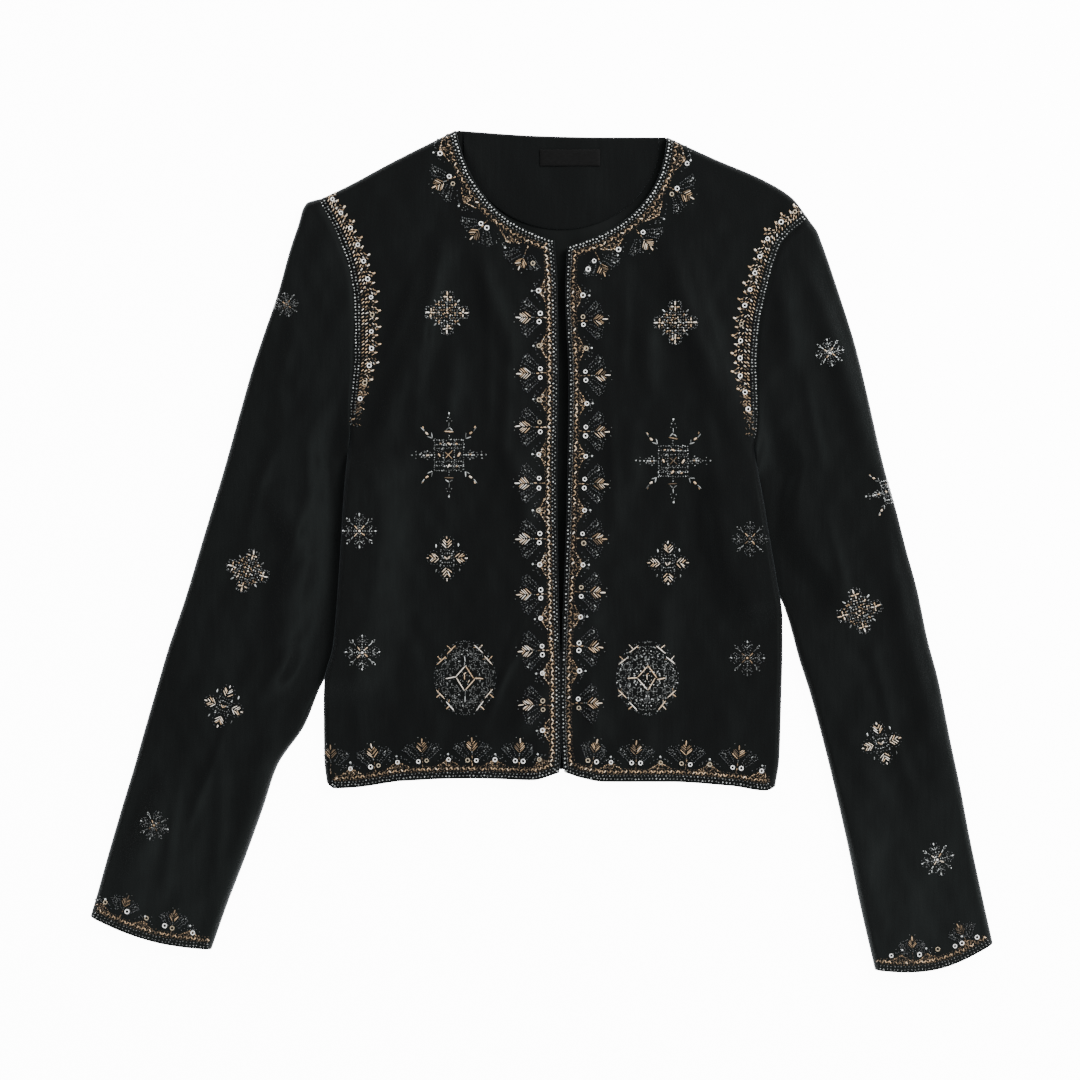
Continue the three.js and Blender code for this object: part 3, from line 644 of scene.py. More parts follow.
class Line:
    """An edge or a seam in plan: its points, the distance along it, and the side on which the cloth lies,
    which is the side of the point called inside."""

    def __init__(self, x, y, inside):
        self.x, self.y = np.asarray(x, float), np.asarray(y, float)
        step = np.hypot(np.diff(self.x), np.diff(self.y))
        self.s = np.concatenate([[0], np.cumsum(step)])
        run_x, run_y = np.gradient(self.x, self.s), np.gradient(self.y, self.s)
        length = np.hypot(run_x, run_y)
        side = np.sign(np.mean(-run_y * (inside[0] - self.x) + run_x * (inside[1] - self.y)))
        self.normal_x, self.normal_y = -run_y / length * side, run_x / length * side
        self.length = self.s[-1]

    def carry(self, s, w):
        """The point at distance s along the line and w in from it. Past an end the line goes on straight."""
        held = np.clip(s, 0, self.length)
        beyond = s - held
        nx, ny = np.interp(held, self.s, self.normal_x), np.interp(held, self.s, self.normal_y)
        tx = np.interp(held, self.s, np.gradient(self.x, self.s))
        ty = np.interp(held, self.s, np.gradient(self.y, self.s))
        x = np.interp(held, self.s, self.x) + nx * w + tx * beyond
        return x, np.interp(held, self.s, self.y) + ny * w + ty * beyond

    def closest(self, x, y):
        """Distance along the line of its point closest to this one."""
        return self.s[np.argmin(np.hypot(self.x - x, self.y - y))]


def photo_point(px, py):
    """A place in the photograph in the tables' millimetres."""
    return (px - PHOTO_MIDDLE[0]) * PIXEL, (PHOTO_MIDDLE[1] - py) * PIXEL


# A pattern is rows of kind, start a and b, end a and b, width and tone, in millimetres.


def sewn(kind, a0, b0, a1, b1, width, tone):
    """Rows of a pattern, one for each stitch or bead. Any of its values may be a list."""
    columns = np.broadcast_arrays(np.asarray(kind, float), a0, b0, a1, b1, width, tone)
    return np.stack([np.ravel(column) for column in columns], 1)


def dots(kind, a, b, size, tone):
    """Beads or sequins: rows that start and end at one point."""
    return sewn(kind, a, b, a, b, size, tone)


def row_of(kind, a0, b0, a1, b1, pitch, size, tone):
    """Beads at an even pitch on a straight line."""
    t = np.linspace(0, 1, max(int(round(np.hypot(a1 - a0, b1 - b0) / pitch)), 1) + 1)
    return dots(kind, a0 + (a1 - a0) * t, b0 + (b1 - b0) * t, size, tone)


def ring_of(kind, a, b, radius, count, length, size, tone, start=0.0):
    """Short stitches or beads that follow a circle: each one spans its own length along the tangent."""
    angle = np.radians(start) + 2 * np.pi * np.arange(count) / count
    ca, cb = a + radius * np.cos(angle), b + radius * np.sin(angle)
    da, db = -np.sin(angle) * length / 2, np.cos(angle) * length / 2
    return sewn(kind, ca - da, cb - db, ca + da, cb + db, size, tone)


def chevron(kind, b, half_wide, rise, width, tone):
    """Two stitches that open upwards from a point on the middle line."""
    ends = np.array([-1.0, 1.0]) * half_wide
    return sewn(kind, ends * 0.08, b, ends, b + rise, width, tone)


def chevron_at(kind, a, b, way, size, width, tone):
    """A small chevron at a point, that opens in the direction of an angle."""
    ends = way + np.array([-0.7, 0.7])
    return sewn(kind, a, b, a + size * np.cos(ends), b + size * np.sin(ends), width, tone)


def mirrored(pattern):
    """The pattern and its reflection in the middle line."""
    other = pattern.copy()
    other[:, (1, 3)] *= -1
    return np.concatenate([pattern, other])


def moved(pattern, a, b):
    """The pattern, moved by a and b."""
    copy = pattern.copy()
    copy[:, (1, 3)] += a
    copy[:, (2, 4)] += b
    return copy


def stretched(pattern, factor):
    """The pattern with its heights times a factor. Minus one turns it upside down, as in a mirror."""
    copy = pattern.copy()
    copy[:, (2, 4)] *= factor
    return copy


def turned(pattern, *degrees):
    """Copies of a pattern, each turned about its middle by one of the angles."""
    copies = []
    for degree in degrees:
        cos, sin = np.cos(np.radians(degree)), np.sin(np.radians(degree))
        copy = pattern.copy()
        for a, b in ((1, 2), (3, 4)):
            copy[:, a] = pattern[:, a] * cos - pattern[:, b] * sin
            copy[:, b] = pattern[:, a] * sin + pattern[:, b] * cos
        copies.append(copy)
    return np.concatenate(copies)


def sprig(bright, dim):
    """Border sprig: two sequins over a stem, dim beaded arms, nested chevrons and a long tip."""
    half = [
        dots(SEQUIN, 3.5, 15.2, 4.0, 1.0),
        row_of(SILVER, 4.8, 18.4, 12.4, 26.2, 2.3, 1.0, 0.42 * dim),
        row_of(DARK, 6.5, 17, 15.5, 25.4, 1.7, 1.4, 0.8), row_of(DARK, 3, 20.4, 8.4, 30, 1.9, 1.4, 0.8),
        sewn(SILVER, 9.6, 25.2, 11.4, 27.2, 0.85, 0.85 * dim),
        sewn(SILVER, 12.6, 27.8, 13.8, 26.0, 0.85, 0.85 * dim),
        sewn(SILVER, 8.6, 23.4, 10.2, 22.8, 0.85, 0.85 * dim),
        dots(SILVER, [6.2, 3.2, 13.6, 11.0, 7.4], [31.0, 35.6, 24.2, 21.4, 27.4], 1.0, 0.5 * dim),
        ring_of(DARK, 11.4, 26.4, 3.2, 9, 1.3, 1.1, 0.9),
    ]
    stem = [
        sewn(THREAD, 0, [9.8, 13.0], 0, [12.4, 15.0], 0.85, 0.95 * bright),
        sewn(THREAD, 0, 16.4, 0, 18.8, 0.9, 0.8 * bright), dots(SILVER, 0, [20.0, 21.8], 1.1, 0.7 * dim),
    ]
    for b, half_wide, rise, width, tone in (
        (22.8, 4.8, 4.6, 0.68, 1.3), (24.9, 4.4, 4.3, 0.68, 1.35), (26.9, 3.7, 3.7, 0.68, 1.3),
        (28.7, 2.6, 2.7, 0.62, 1.2),
    ):
        stem.append(chevron(THREAD, b, half_wide, rise, width, tone * bright))
    stem.append(sewn(THREAD, 0, 30.4, 0, 34.9, 1.2, 1.5 * bright))
    return np.concatenate([mirrored(np.concatenate(half)), *stem])


def plain_sprig(bright, dim):
    """The sprig of the neck and the cuffs: the border sprig without its sequins."""
    whole = sprig(bright, dim)
    return whole[whole[:, 0] != SEQUIN]


def border_triangle(rng, bright, with_sequin=True):
    """Filled triangle on the border: short crossing stitches and specks, two rows of edge stitches, a sequin
    on the point and a bead past it."""
    base, point, half_wide = 10.2, 15.4, 9.6
    count = 26
    b = base + (point - base) * rng.uniform(0, 1, count) ** 1.3
    a = rng.uniform(-1, 1, count) * half_wide * (point + 1.0 - b) / (point + 1.0 - base)
    angle = rng.choice([0.75, -0.75, 1.5], count) + rng.normal(0, 0.3, count)
    reach = rng.uniform(0.3, 0.9, count)
    da, db = np.cos(angle) * reach, np.sin(angle) * reach
    shade = bright * np.where(rng.uniform(0, 1, count) > 0.7, 1.15, rng.uniform(0.2, 0.6, count))
    parts = [sewn(THREAD, a - da, b - db, a + da, b + db, 0.65, shade)]
    t = np.linspace(0.04, 0.9, 6)
    for sign in (-1, 1):
        ea, eb = sign * half_wide * (1 - t), base + (point - base) * t
        parts.append(sewn(THREAD, ea, eb, ea - sign * 1.0, eb + 0.8, 0.8, 1.0 * bright))
    parts.append(ring_of(THREAD, 0, 12.2, 1.9, 7, 1.3, 0.75, 0.7 * bright))
    if with_sequin:
        parts.append(dots(SEQUIN, 0, 15.8, 4.0, 1.0))
    parts.append(dots(SILVER, 0, 20.6, 1.7, 1.3))
    parts.append(dots(SILVER, rng.uniform(-7, 7, 6), rng.uniform(16, 21, 6), 0.9, 0.4))
    a = np.linspace(-9, 9, 7)
    parts.append(dots(DARK, a, 19 - 0.05 * a**2, 1.5, 0.8))
    return np.concatenate(parts)


def edging(length, start, end, rows, chain_at, gold, wave=6.0):
    """Straight part of a border in distances along and in from the edge: rows of silver beads, each with its
    depth, pitch, size and tone, and a gold zigzag with a thin running line on both sides. Each one is trimmed
    by three quarters of its depth where it meets another border."""
    span = lambda depth, pitch: np.arange(0.75 * depth * start, length - 0.75 * depth * end, pitch)
    parts = []
    for depth, pitch, size, tone in rows:
        parts.append(dots(SILVER, span(depth, pitch), depth, size, tone))
    s = span(chain_at, wave)
    low, high = chain_at - 0.95, chain_at + 0.95
    parts.append(sewn(THREAD, s, low, s + 0.37 * wave, high, 1.15, 1.25 * gold))
    parts.append(sewn(THREAD, s + 0.5 * wave, high, s + 0.87 * wave, low, 1.05, 1.05 * gold))
    parts.append(dots(THREAD, s + 0.1 * wave, high + 0.2, 0.9, 0.6 * gold))
    parts.append(dots(THREAD, s + 0.65 * wave, low - 0.2, 0.9, 0.6 * gold))
    s = span(chain_at, 2.6)
    parts.append(sewn(THREAD, s, low - 1.1, s + 1.5, low - 1.1, 0.5, 0.42 * gold))
    parts.append(sewn(THREAD, s + 1.2, high + 1.2, s + 2.4, high + 1.2, 0.45, 0.38 * gold))
    return np.concatenate(parts)


def large_star(rng):
    """Eight-rayed star on a beaded lattice, 60 mm wide and 68 mm tall."""
    line = np.arange(-11.6, 11.7, 1.93)
    lattice = []
    for level, tone in ((12.0, 0.75), (8.4, 0.85), (5.0, 0.42), (-5.2, 0.42), (-8.8, 0.85), (-12.4, 0.7)):
        shade = tone * rng.uniform(0.4, 1.8, len(line))
        tilted = level + rng.normal(0, 0.3, len(line))
        lattice.append(sewn(SILVER, line - 0.5, level, line + 0.5, tilted, 0.95, shade))
    for level in (-11.6, -4.4, 4.4, 11.6):
        lattice.append(dots(SILVER, level, line, 1.05, 0.55 * rng.uniform(0.4, 1.8, len(line))))
    lattice.append(dots(SILVER, rng.uniform(-11, 11, 34), rng.uniform(-12, 12, 34), 0.95, 0.4))
    lattice.append(ring_of(DARK, 0, 0, 9.2, 20, 1.6, 1.2, 0.9))
    seeds = [
        sewn(THREAD, -1.4, 9.4, 1.4, 8.0, 1.5, 1.5), sewn(THREAD, 7.0, -1.8, 8.8, 1.6, 1.7, 1.5),
        sewn(THREAD, -1.6, -10.2, 0.6, -7.8, 1.6, 1.5), sewn(THREAD, -8.6, 1.4, -7.2, -1.2, 1.4, 1.2),
        sewn(THREAD, 5.6, -9.6, 7.4, -8.8, 1.3, 1.1), sewn(THREAD, -3.2, 3.0, 3.0, -2.8, 0.8, 1.0),
        sewn(THREAD, 3.0, 3.0, -3.0, -3.0, 0.75, 0.9), sewn(SILVER, -6.4, 4.0, -4.4, 5.8, 1.0, 0.8),
        sewn(THREAD, [-7.6, 5.2], [8.6, 9.0], [-6.0, 7.2], [9.2, 8.6], 1.2, 0.9),
    ]
    side = [
        dots(SILVER, [13.6, 15.6, 18.2, 20.4, 23.0, 26.2, 29.6], 0, 1.5, 0.95),
        sewn(THREAD, 15.2, 0.2, 18.4, 0.3, 1.2, 0.9),
        dots(SILVER, [15.4, 15.4, 17, 17, 19.2], [2, -2, 3.6, -3.6, 1.9], 1.15, 0.6),
        dots(SILVER, [19.4, 21.8, 22, 26.4, 26.6], [-2.1, 1.6, -1.6, 2.7, -2.7], 1.15, 0.6),
        sewn(SILVER, 17.4, [1.4, -1.4], 20.2, [2.8, -2.8], 0.8, 0.55),
    ]
    upper = [
        sewn(THREAD, -3.7, 18.2, 3.7, 18.2, 1.05, 1.0), sewn(SILVER, [-2.8, 2.8], 19.4, 0, 21.8, 1.0, 0.75),
        sewn(SILVER, 0, 22.4, 0, 26.2, 0.85, 0.55), dots(SILVER, 0, [13.9, 15.9], 1.1, 0.55),
        dots(SILVER, [-2.0, 2.2, -1.2, 1.3, 0], [27.0, 26.8, 29.6, 29.4, 31.4], 1.1, 0.6),
        sewn(SILVER, 0, 32.4, 0, 34.2, 1.6, 1.15),
    ]
    corner = [
        sewn(SILVER, 13.0, 13.2, 13.9, 17.6, 0.95, 0.9), sewn(SILVER, 13.0, 13.2, 17.2, 14.3, 0.95, 0.8),
        sewn(THREAD, 16.4, 16.6, 18.7, 18.3, 1.7, 1.2), sewn(SILVER, 19.4, 18.9, 22.0, 22.4, 0.95, 0.7),
        sewn(THREAD, 20.2, 21.0, 21.0, 22.8, 1.1, 1.0),
    ]
    rays = [np.concatenate(side), np.concatenate(upper), mirrored(np.concatenate(corner))]
    return np.concatenate([*lattice, *seeds, *(turned(ray, 0, 180) for ray in rays)])


def diamond_star(rng):
    """Four small rings round a middle one, each with a cross of stitches, on a diamond filled with beads and
    35 mm across."""
    arm = [
        ring_of(DARK, 0, 12.6, 5.2, 12, 1.6, 1.3, 0.9), ring_of(SILVER, 0, 12.6, 4.5, 9, 1.1, 0.95, 0.65, 20),
        sewn(THREAD, 0, 9.4, 0, 11.8, 1.2, 1.3), sewn(THREAD, 0, 13.6, 0, 17.0, 1.3, 1.45),
        sewn(THREAD, [-3.6, 3.6], 12.7, [-1.2, 1.2], 12.6, 1.15, 1.25), dots(THREAD, 0, 12.6, 1.4, 1.3),
        dots(SILVER, [-4.4, 4.4], 16.2, 1.0, 0.6),
    ]
    diagonal = [
        sewn(SILVER, 8.2, 8.2, 10.4, 10.4, 1.3, 1.1), sewn(THREAD, 5.8, 5.8, 7.4, 7.4, 1.2, 1.1),
        dots(SILVER, [6.4, 9.2], [9.2, 6.4], 1.0, 0.7),
    ]
    grid = np.arange(-12.6, 12.7, 2.1)
    a, b = (line.ravel() for line in np.meshgrid(grid, grid))
    keep = np.abs(a) + np.abs(b) < 15.5
    kind = np.where(rng.uniform(0, 1, keep.sum()) < 0.5, SILVER, THREAD)
    fill = dots(kind, a[keep], b[keep], 1.05, rng.uniform(0.1, 1.35, keep.sum()))
    middle = [
        ring_of(THREAD, 0, 0, 3.2, 6, 1.6, 0.95, 1.1, 20), ring_of(SILVER, 0, 0, 6.7, 14, 1.2, 1.0, 0.7, 15),
        dots(THREAD, 0, 0, 1.7, 1.3), fill,
    ]
    spread = turned(np.concatenate([*arm, *diagonal]), 0, 90, 180, 270)
    return np.concatenate([spread, *middle])


def medallion(rng, bright):
    """Round medallion: a lace of small beads and short stitches, alike in its four quarters, with a gold
    diamond and arms in the middle and eight gold twigs round the rim, 50 mm wide and 62 mm tall."""
    parts = []
    diamond = [(0, 9.8), (7.6, -0.4), (0, -9.6), (-7.6, 0.4)]
    for (a0, b0), (a1, b1) in zip(diamond, diamond[1:] + diamond[:1]):
        parts.append(sewn(THREAD, a0, b0, a1, b1, 1.0, 1.3))
    parts.append(sewn(THREAD, [7.6, -7.6], [-0.4, 0.4], [14.8, -15.8], [-0.5, -0.3], 1.15, 1.35))
    parts.append(sewn(SILVER, 0, [9.9, 13.2], 0, [12.8, 18.0], 0.8, 0.75))
    parts.append(sewn(SILVER, 0, [-9.9, -14.4], 0, [-14.0, -19.8], 0.8, 0.8))
    for a0, b0, a1, b1 in ((-1.0, 2.6, 1.1, 4.2), (0.0, -1.6, 0.1, 3.0), (2.0, -3.0, 3.6, -1.6)):
        parts.append(sewn(THREAD, a0, b0, a1, b1, 0.8, 1.0))
    twig = np.concatenate([
        sewn(THREAD, 0, -4.9, 0, 4.9, 0.95, 1.4), sewn(THREAD, 0.3, 0.2, 4.6, 0.4, 0.9, 1.2),
        sewn(THREAD, -0.3, 2.6, -2.4, 4.2, 0.7, 0.7),
    ])
    for a, b, degree in ((11.0, 22.9, 42), (18.8, 14.2, 44), (19.5, -12.6, -44), (11.6, -22.2, -42)):
        parts.append(mirrored(moved(turned(twig, degree), a, b)))
    lace = []
    count = 64
    way = rng.uniform(0, np.pi / 2, count)
    reach = np.sqrt(rng.uniform(0.06, 1, count)) * 24.3
    shade = bright * np.where(rng.uniform(0, 1, count) > 0.82, 1.35, rng.uniform(0.25, 0.7, count))
    lace.append(dots(SILVER, reach * np.cos(way), reach * 1.22 * np.sin(way), 1.0, shade))
    count = 26
    way = rng.uniform(0, np.pi / 2, count)
    reach = np.sqrt(rng.uniform(0.12, 1, count)) * 22.5
    a, b = reach * np.cos(way), reach * 1.22 * np.sin(way)
    turn = way + rng.choice([-0.8, 0.8, 1.57], count)
    da, db = np.cos(turn) * 1.1, np.sin(turn) * 1.1
    lace.append(sewn(SILVER, a - da, b - db, a + da, b + db, 0.72, bright * rng.uniform(0.3, 0.95, count)))
    for a, b, radius in ((10.8, 10.8, 3.4), (19.6, 3.6, 3.0), (4.0, 21.8, 3.2), (16.4, 9.2, 2.2)):
        lace.append(ring_of(SILVER, a, b, radius, 10, 1.4, 0.7, 0.42 * bright))
    for a, b, way, size in ((5.2, 7.4, 0.95, 3.0), (8.6, 14.4, 1.1, 2.6), (13.2, 4.6, 0.4, 2.6)):
        lace.append(chevron_at(SILVER, a, b, way, size, 0.75, 0.6 * bright))
    lace.append(dots(SILVER, [1.6, 3.6, 2.4], [2.4, 1.6, 5.0], 1.0, 0.8 * bright))
    upper = mirrored(np.concatenate(lace))
    outline = stretched(ring_of(DARK, 0, 0, 24.5, 44, 1.6, 1.3, 0.8), 1.2)
    inner_ring = ring_of(DARK, 0, 0, 17.5, 30, 1.6, 1.3, 0.8)
    return np.concatenate([*parts, upper, stretched(upper, -1), outline, inner_ring])


def small_snowflake(bright):
    """Sixteen thin beaded spokes round a bright middle, every fourth one with a forked end, 28 mm across."""
    straight = [
        row_of(SILVER, 0, 2.8, 0, 12.0, 1.8, 1.0, 0.65 * bright),
        sewn(SILVER, 0, 12.4, 0, 14.0, 1.35, 1.15 * bright),
        sewn(SILVER, [-0.5, 0.5], 8.0, [-2.6, 2.6], 10.2, 0.75, 0.6 * bright),
        ring_of(DARK, 0, 10.8, 3.4, 8, 1.4, 1.2, 0.9),
    ]
    diagonal = [
        sewn(THREAD, 1.6, 1.6, 4.2, 4.2, 0.9, 1.0 * bright),
        sewn(SILVER, 4.8, 4.8, 7.0, 7.0, 0.85, 0.7 * bright),
        sewn(SILVER, 7.2, 7.2, [9.8, 7.8], [7.8, 9.8], 0.75, 0.65 * bright),
        dots(SILVER, 9.8, 9.8, 1.2, 0.8 * bright),
    ]
    between = mirrored(row_of(SILVER, 1.6, 3.9, 4.2, 10.2, 2.0, 0.85, 0.42 * bright))
    middle = [dots(THREAD, 0, 0, 2.0, 1.3 * bright), ring_of(SILVER, 0, 0, 2.4, 6, 1.4, 1.0, 0.8 * bright)]
    arms = turned(np.concatenate([*straight, *diagonal, between]), 0, 90, 180, 270)
    return np.concatenate([arms, *middle])


def four_petal():
    """Four petals of nested gold chevrons round a beaded lattice, 34 mm across."""
    petal = [
        chevron(THREAD, 6.8, 3.8, 3.5, 0.72, 1.45), chevron(THREAD, 9.0, 3.5, 3.7, 0.75, 1.45),
        chevron(THREAD, 11.0, 2.5, 2.7, 0.7, 1.3), sewn(THREAD, 0, 14.2, 0, 16.6, 1.25, 1.5),
        dots(SILVER, [5.2, -5.2], [5.2, 5.2], 1.2, 0.7),
        ring_of(DARK, 0, 10.5, 5.6, 12, 1.5, 1.3, 0.8), dots(SILVER, [-2.2, 2.2], 5.0, 1.0, 0.6),
    ]
    line = np.arange(-3.6, 3.7, 1.8)
    middle = [
        *(dots(SILVER, line, level, 1.1, tone) for level, tone in ((3.6, 0.8), (-3.6, 0.8), (0, 0.7))),
        chevron(THREAD, -1.4, 2.2, 2.4, 0.9, 1.2), dots(SILVER, [-3.6, 3.6], 1.8, 1.1, 0.8),
        sewn(SILVER, [-8.8, 9.2], [8.4, 8.8], [-8.8, 9.2], [11.2, 11.6], 1.2, 1.3),
        sewn(SILVER, [-8.4, 9.9], [-9.0, -8.6], [-9.2, 9.9], [-11.6, -11.2], 1.1, 0.9),
    ]
    petal = np.concatenate(petal)
    return np.concatenate([turned(moved(petal, 0, 1.3), 0, 180), turned(petal, 90, 270), *middle])


def armhole_band(rng, length):
    """Band along an armhole seam, in distances from the shoulder down and in from the seam: two rows of
    silver beads, two rows of slanting gold stitches, sequins among small stitches and a pointed fringe."""
    parts = []
    shares, depths = [0, 0.2, 0.5, 0.7, 0.8, 0.9, 1], [16, 19, 22.5, 21, 15, 9.5, 3]
    reach = lambda s: np.interp(s / length, shares, depths)
    fade = lambda s: 1 - 0.6 * ramp(0.7, 0.95, s / length)
    for depth, end, tone in ((1.2, 0.97, 1.0), (3.9, 0.93, 0.65)):
        s = np.arange(0.6, length * end, 2.6)
        parts.append(dots(SILVER, s, depth, 1.3, tone * fade(s)))
    for depth in (6.9, 9.6):
        s = np.arange(0.8, length, 2.8)
        s = s[reach(s) > depth + 1.5]
        shade = rng.uniform(0.6, 1.5, len(s)) * fade(s)
        parts.append(sewn(THREAD, s, depth + 1.0, s + 1.5, depth - 0.9, 0.9, shade))
    for at in np.arange(5, length * 0.97, 13.3):
        wide, shade = reach(at), fade(at)
        middle = wide * 0.64
        if wide > 12:
            parts.append(dots(SEQUIN, at, middle, 4.0, 1.0))
        for step, low, size in ((-3.2, 0.0, 1.8), (3.6, 2.6, 1.3)):
            tip, place = reach(at + step) - low, at + step
            parts.append(sewn(THREAD, place, tip - 3.0, place - 0.7, tip - 0.4, size, 1.25 * shade))
            ends = place + np.array([-1.6, 1.6])
            parts.append(sewn(THREAD, ends, tip - 4.8, ends * 0.5 + place * 0.5, tip - 3.0, 0.7, 0.9 * shade))
        for step, lean in ((-3.6, 1.0), (3.2, -1.0), (6.6, 0.8)):
            b = np.array([-2.6, -0.2, 2.2]) + middle + 0.2
            start = at + step + np.array([0.5, 0.0, 0.6])
            tone = rng.uniform(0.6, 1.5, 3) * shade
            parts.append(sewn(THREAD, start, b, start + 1.6 * lean, b + 1.3, 0.78, tone))
        parts.append(dots(SILVER, [at + 6.6, at - 2.6], [middle - 3.4, middle + 3.0], 1.0, 0.7 * shade))
        parts.append(dots(DARK, [at + 3.0, at + 9.0], middle + 1, 1.4, 0.7))
    return np.concatenate(parts)


class Trimming:
    """What is sewn on one panel, kind by kind: rows of x, y, angle, length, width and tone."""

    def __init__(self, rng):
        self.rng = rng
        self.rows = {kind: [] for kind in range(len(KINDS))}

    def sew(self, pattern, carry):
        """Carries both ends of each row of a pattern to their place, and makes the work a little uneven. Each
        tone is times a random painted glint: a bright stitch always gets a strong one, any other one more or
        less, and a share of the sequins gets no painted reflection and stays dull gold, while the rest are
        painted white."""
        start = np.stack(carry(pattern[:, 1], pattern[:, 2]), 1)
        end = np.stack(carry(pattern[:, 3], pattern[:, 4]), 1)
        run = end - start
        length = np.hypot(run[:, 0], run[:, 1])
        angle = np.where(length > 1e-6, np.arctan2(run[:, 1], run[:, 0]), 0)
        middle = (start + end) / 2 + self.rng.normal(0, UNEVEN, start.shape)
        angle = angle + self.rng.normal(0, 0.08, len(angle))
        width = pattern[:, 5] * self.rng.uniform(0.9, 1.1, len(angle))
        glint = self.rng.uniform(0, 1, len(angle))
        # Painted glint: a random brightness that stands in for light caught by the thread, the beads and the
        # sequins.
        painted_glint = np.where(pattern[:, 6] >= ACCENT, 0.62 + 0.45 * glint, 0.3 + 0.95 * glint**1.5)
        painted_glint = np.where(pattern[:, 0] == SEQUIN, np.where(glint > NO_REFLECTION_SHARE, 1.0, NO_REFLECTION_TONE), painted_glint)
        tone = pattern[:, 6] * painted_glint
        table = np.column_stack([middle, angle, np.maximum(length, width), width, tone])
        for kind in self.rows:
            self.rows[kind].append(table[pattern[:, 0] == kind])

    def along(self, line, spots, make, size=1.0, sink=0.0):
        """Sews a border pattern, made anew each time, on a line beside each of some places in the photograph.
        A sink brings it closer to the line, and so does a size below one."""
        for px, py in spots:
            at = line.closest(*photo_point(px, py))
            self.sew(make(), lambda a, b: line.carry(at + a * size, (b - sink) * size))

    def motif(self, pattern, px, py, size=1.0, turn=0.0):
        """Sews a motif at a place in the photograph."""
        x, y = photo_point(px, py)
        placed = turned(pattern, turn)
        self.sew(placed, lambda a, b: (x + a * size, y + b * size))


def front_line(half):
    """Front edge of one half, from the hem up to the corner of the neck."""
    x, y = edge_line(half, np.linspace(0, NECK_CORNER, 400))
    return Line(x, y, (100 * half["outward"], 40))


def neck_line(half):
    """Neckline of one half, from the corner up to the neck point."""
    x, y = edge_line(half, np.linspace(NECK_CORNER, 1, 200))
    return Line(x, y, (140 * half["outward"], 200))


def hem_line(half):
    """Hem of one front, from the front edge to the side seam."""
    start, end = half["edge"][0][1], half["side"][0][1]
    x = np.linspace(start, end, 200)
    return Line(x, reading(half["hem"], 1, x), (x.mean(), 0))


def armhole_line(half):
    """Armhole seam of one half, from the shoulder down to the underarm."""
    x, y = side_line(half, np.linspace(0.9995, UNDERARM, 200))
    return Line(x, y, (0, y.mean()))


def cuff_line(half):
    """Cuff of one sleeve, from its outer to its inner edge."""
    run_of = lambda width, inner_round: width * np.linspace(0.03, 0.97, 160)
    x, y = sleeve_plan(half, np.array([19.0, 18.0]), run_of)[:2]
    return Line(x[0], y[0], (x[1].mean(), y[1].mean()))


# Bead rows of each edge: depth from the edge, pitch, size and tone
NECK_ROWS = [(1.3, 2.75, 1.4, 1.15), (3.6, 2.75, 1.15, 0.95)]
HEM_ROWS = [(1.6, 2.8, 1.2, 0.6), (4.0, 2.8, 1.1, 0.55)]
CUFF_ROWS = [(1.6, 2.8, 1.1, 0.4), (4.0, 2.8, 1.1, 0.4)]
FRONT_BORDER = {
    "right": {
        "rows": [(1.0, 3.15, 1.15, 0.6), (3.0, 3.15, 1.3, 0.9)], "chain_at": 6.3, "sink": 1.5, "bright": 1.1,
    },
    "left": {
        "rows": [(1.0, 3.15, 1.3, 0.8), (2.9, 1.3, 0.7, 0.55)], "chain_at": 5.5, "sink": 2.2, "bright": 0.85,
    },
}

# The column of pixels near which the front edges lie, and the row of pixels near which the hem does
EDGE_COLUMN, HEM_ROW = 555, 775

# Places of the border's sprigs, triangles and single sequins, in the photograph's pixels
PLACES = {
    "right": {
        "front_sprigs": (318, 373, 427, 483.5, 539, 594, 649.5, 705),
        "front_triangles": (291, 346, 400, 455, 510.5, 564, 618, 673, 730),
        "hem_sprigs": (376, 423, 472.5, 518.6),
        "hem_triangles": (350.6, 399.6, 449, 494, 545),
        "neck_sprigs": ((435, 187), (472, 237), (520, 265)),
        "neck_triangles": ((448, 149), (467, 200), (511, 236.5)),
        "neck_sequins": ((440, 154), (449, 177), (453, 183.5), (481, 224), (487, 228), (533, 263.5)),
        "cuff_sprigs": ((130, 894), (175, 912)),
        "cuff_sequins": ((105.5, 902), (128, 911), (147, 918), (165, 925), (173, 927.5), (193, 933)),
        "cuff_triangles": ((101, 909), (143, 924), (190, 938)),
    },
    "left": {
        "front_sprigs": (322, 376.5, 430.5, 483.5, 538, 591, 645, 703),
        "front_triangles": (297, 349.5, 403, 456, 510, 563, 616, 671),
        "hem_sprigs": (589.5, 636, 685, 736),
        "hem_triangles": (611, 660, 709, 761),
        "neck_sprigs": ((690, 198), (650, 247), (604, 273)),
        "neck_triangles": ((680, 159), (655, 212), (612, 245)),
        "neck_sequins": (
            (686, 164), (677, 189), (671, 195), (643, 233), (618, 250), (594, 261), (588, 269),
        ),
        "cuff_sprigs": ((912, 937), (958, 926)),
        "cuff_sequins": ((891, 955), (919, 954), (937, 949), (954.5, 946), (962, 943), (976, 936.5)),
        "cuff_triangles": ((901, 962), (928, 958), (968, 948)),
    },
}


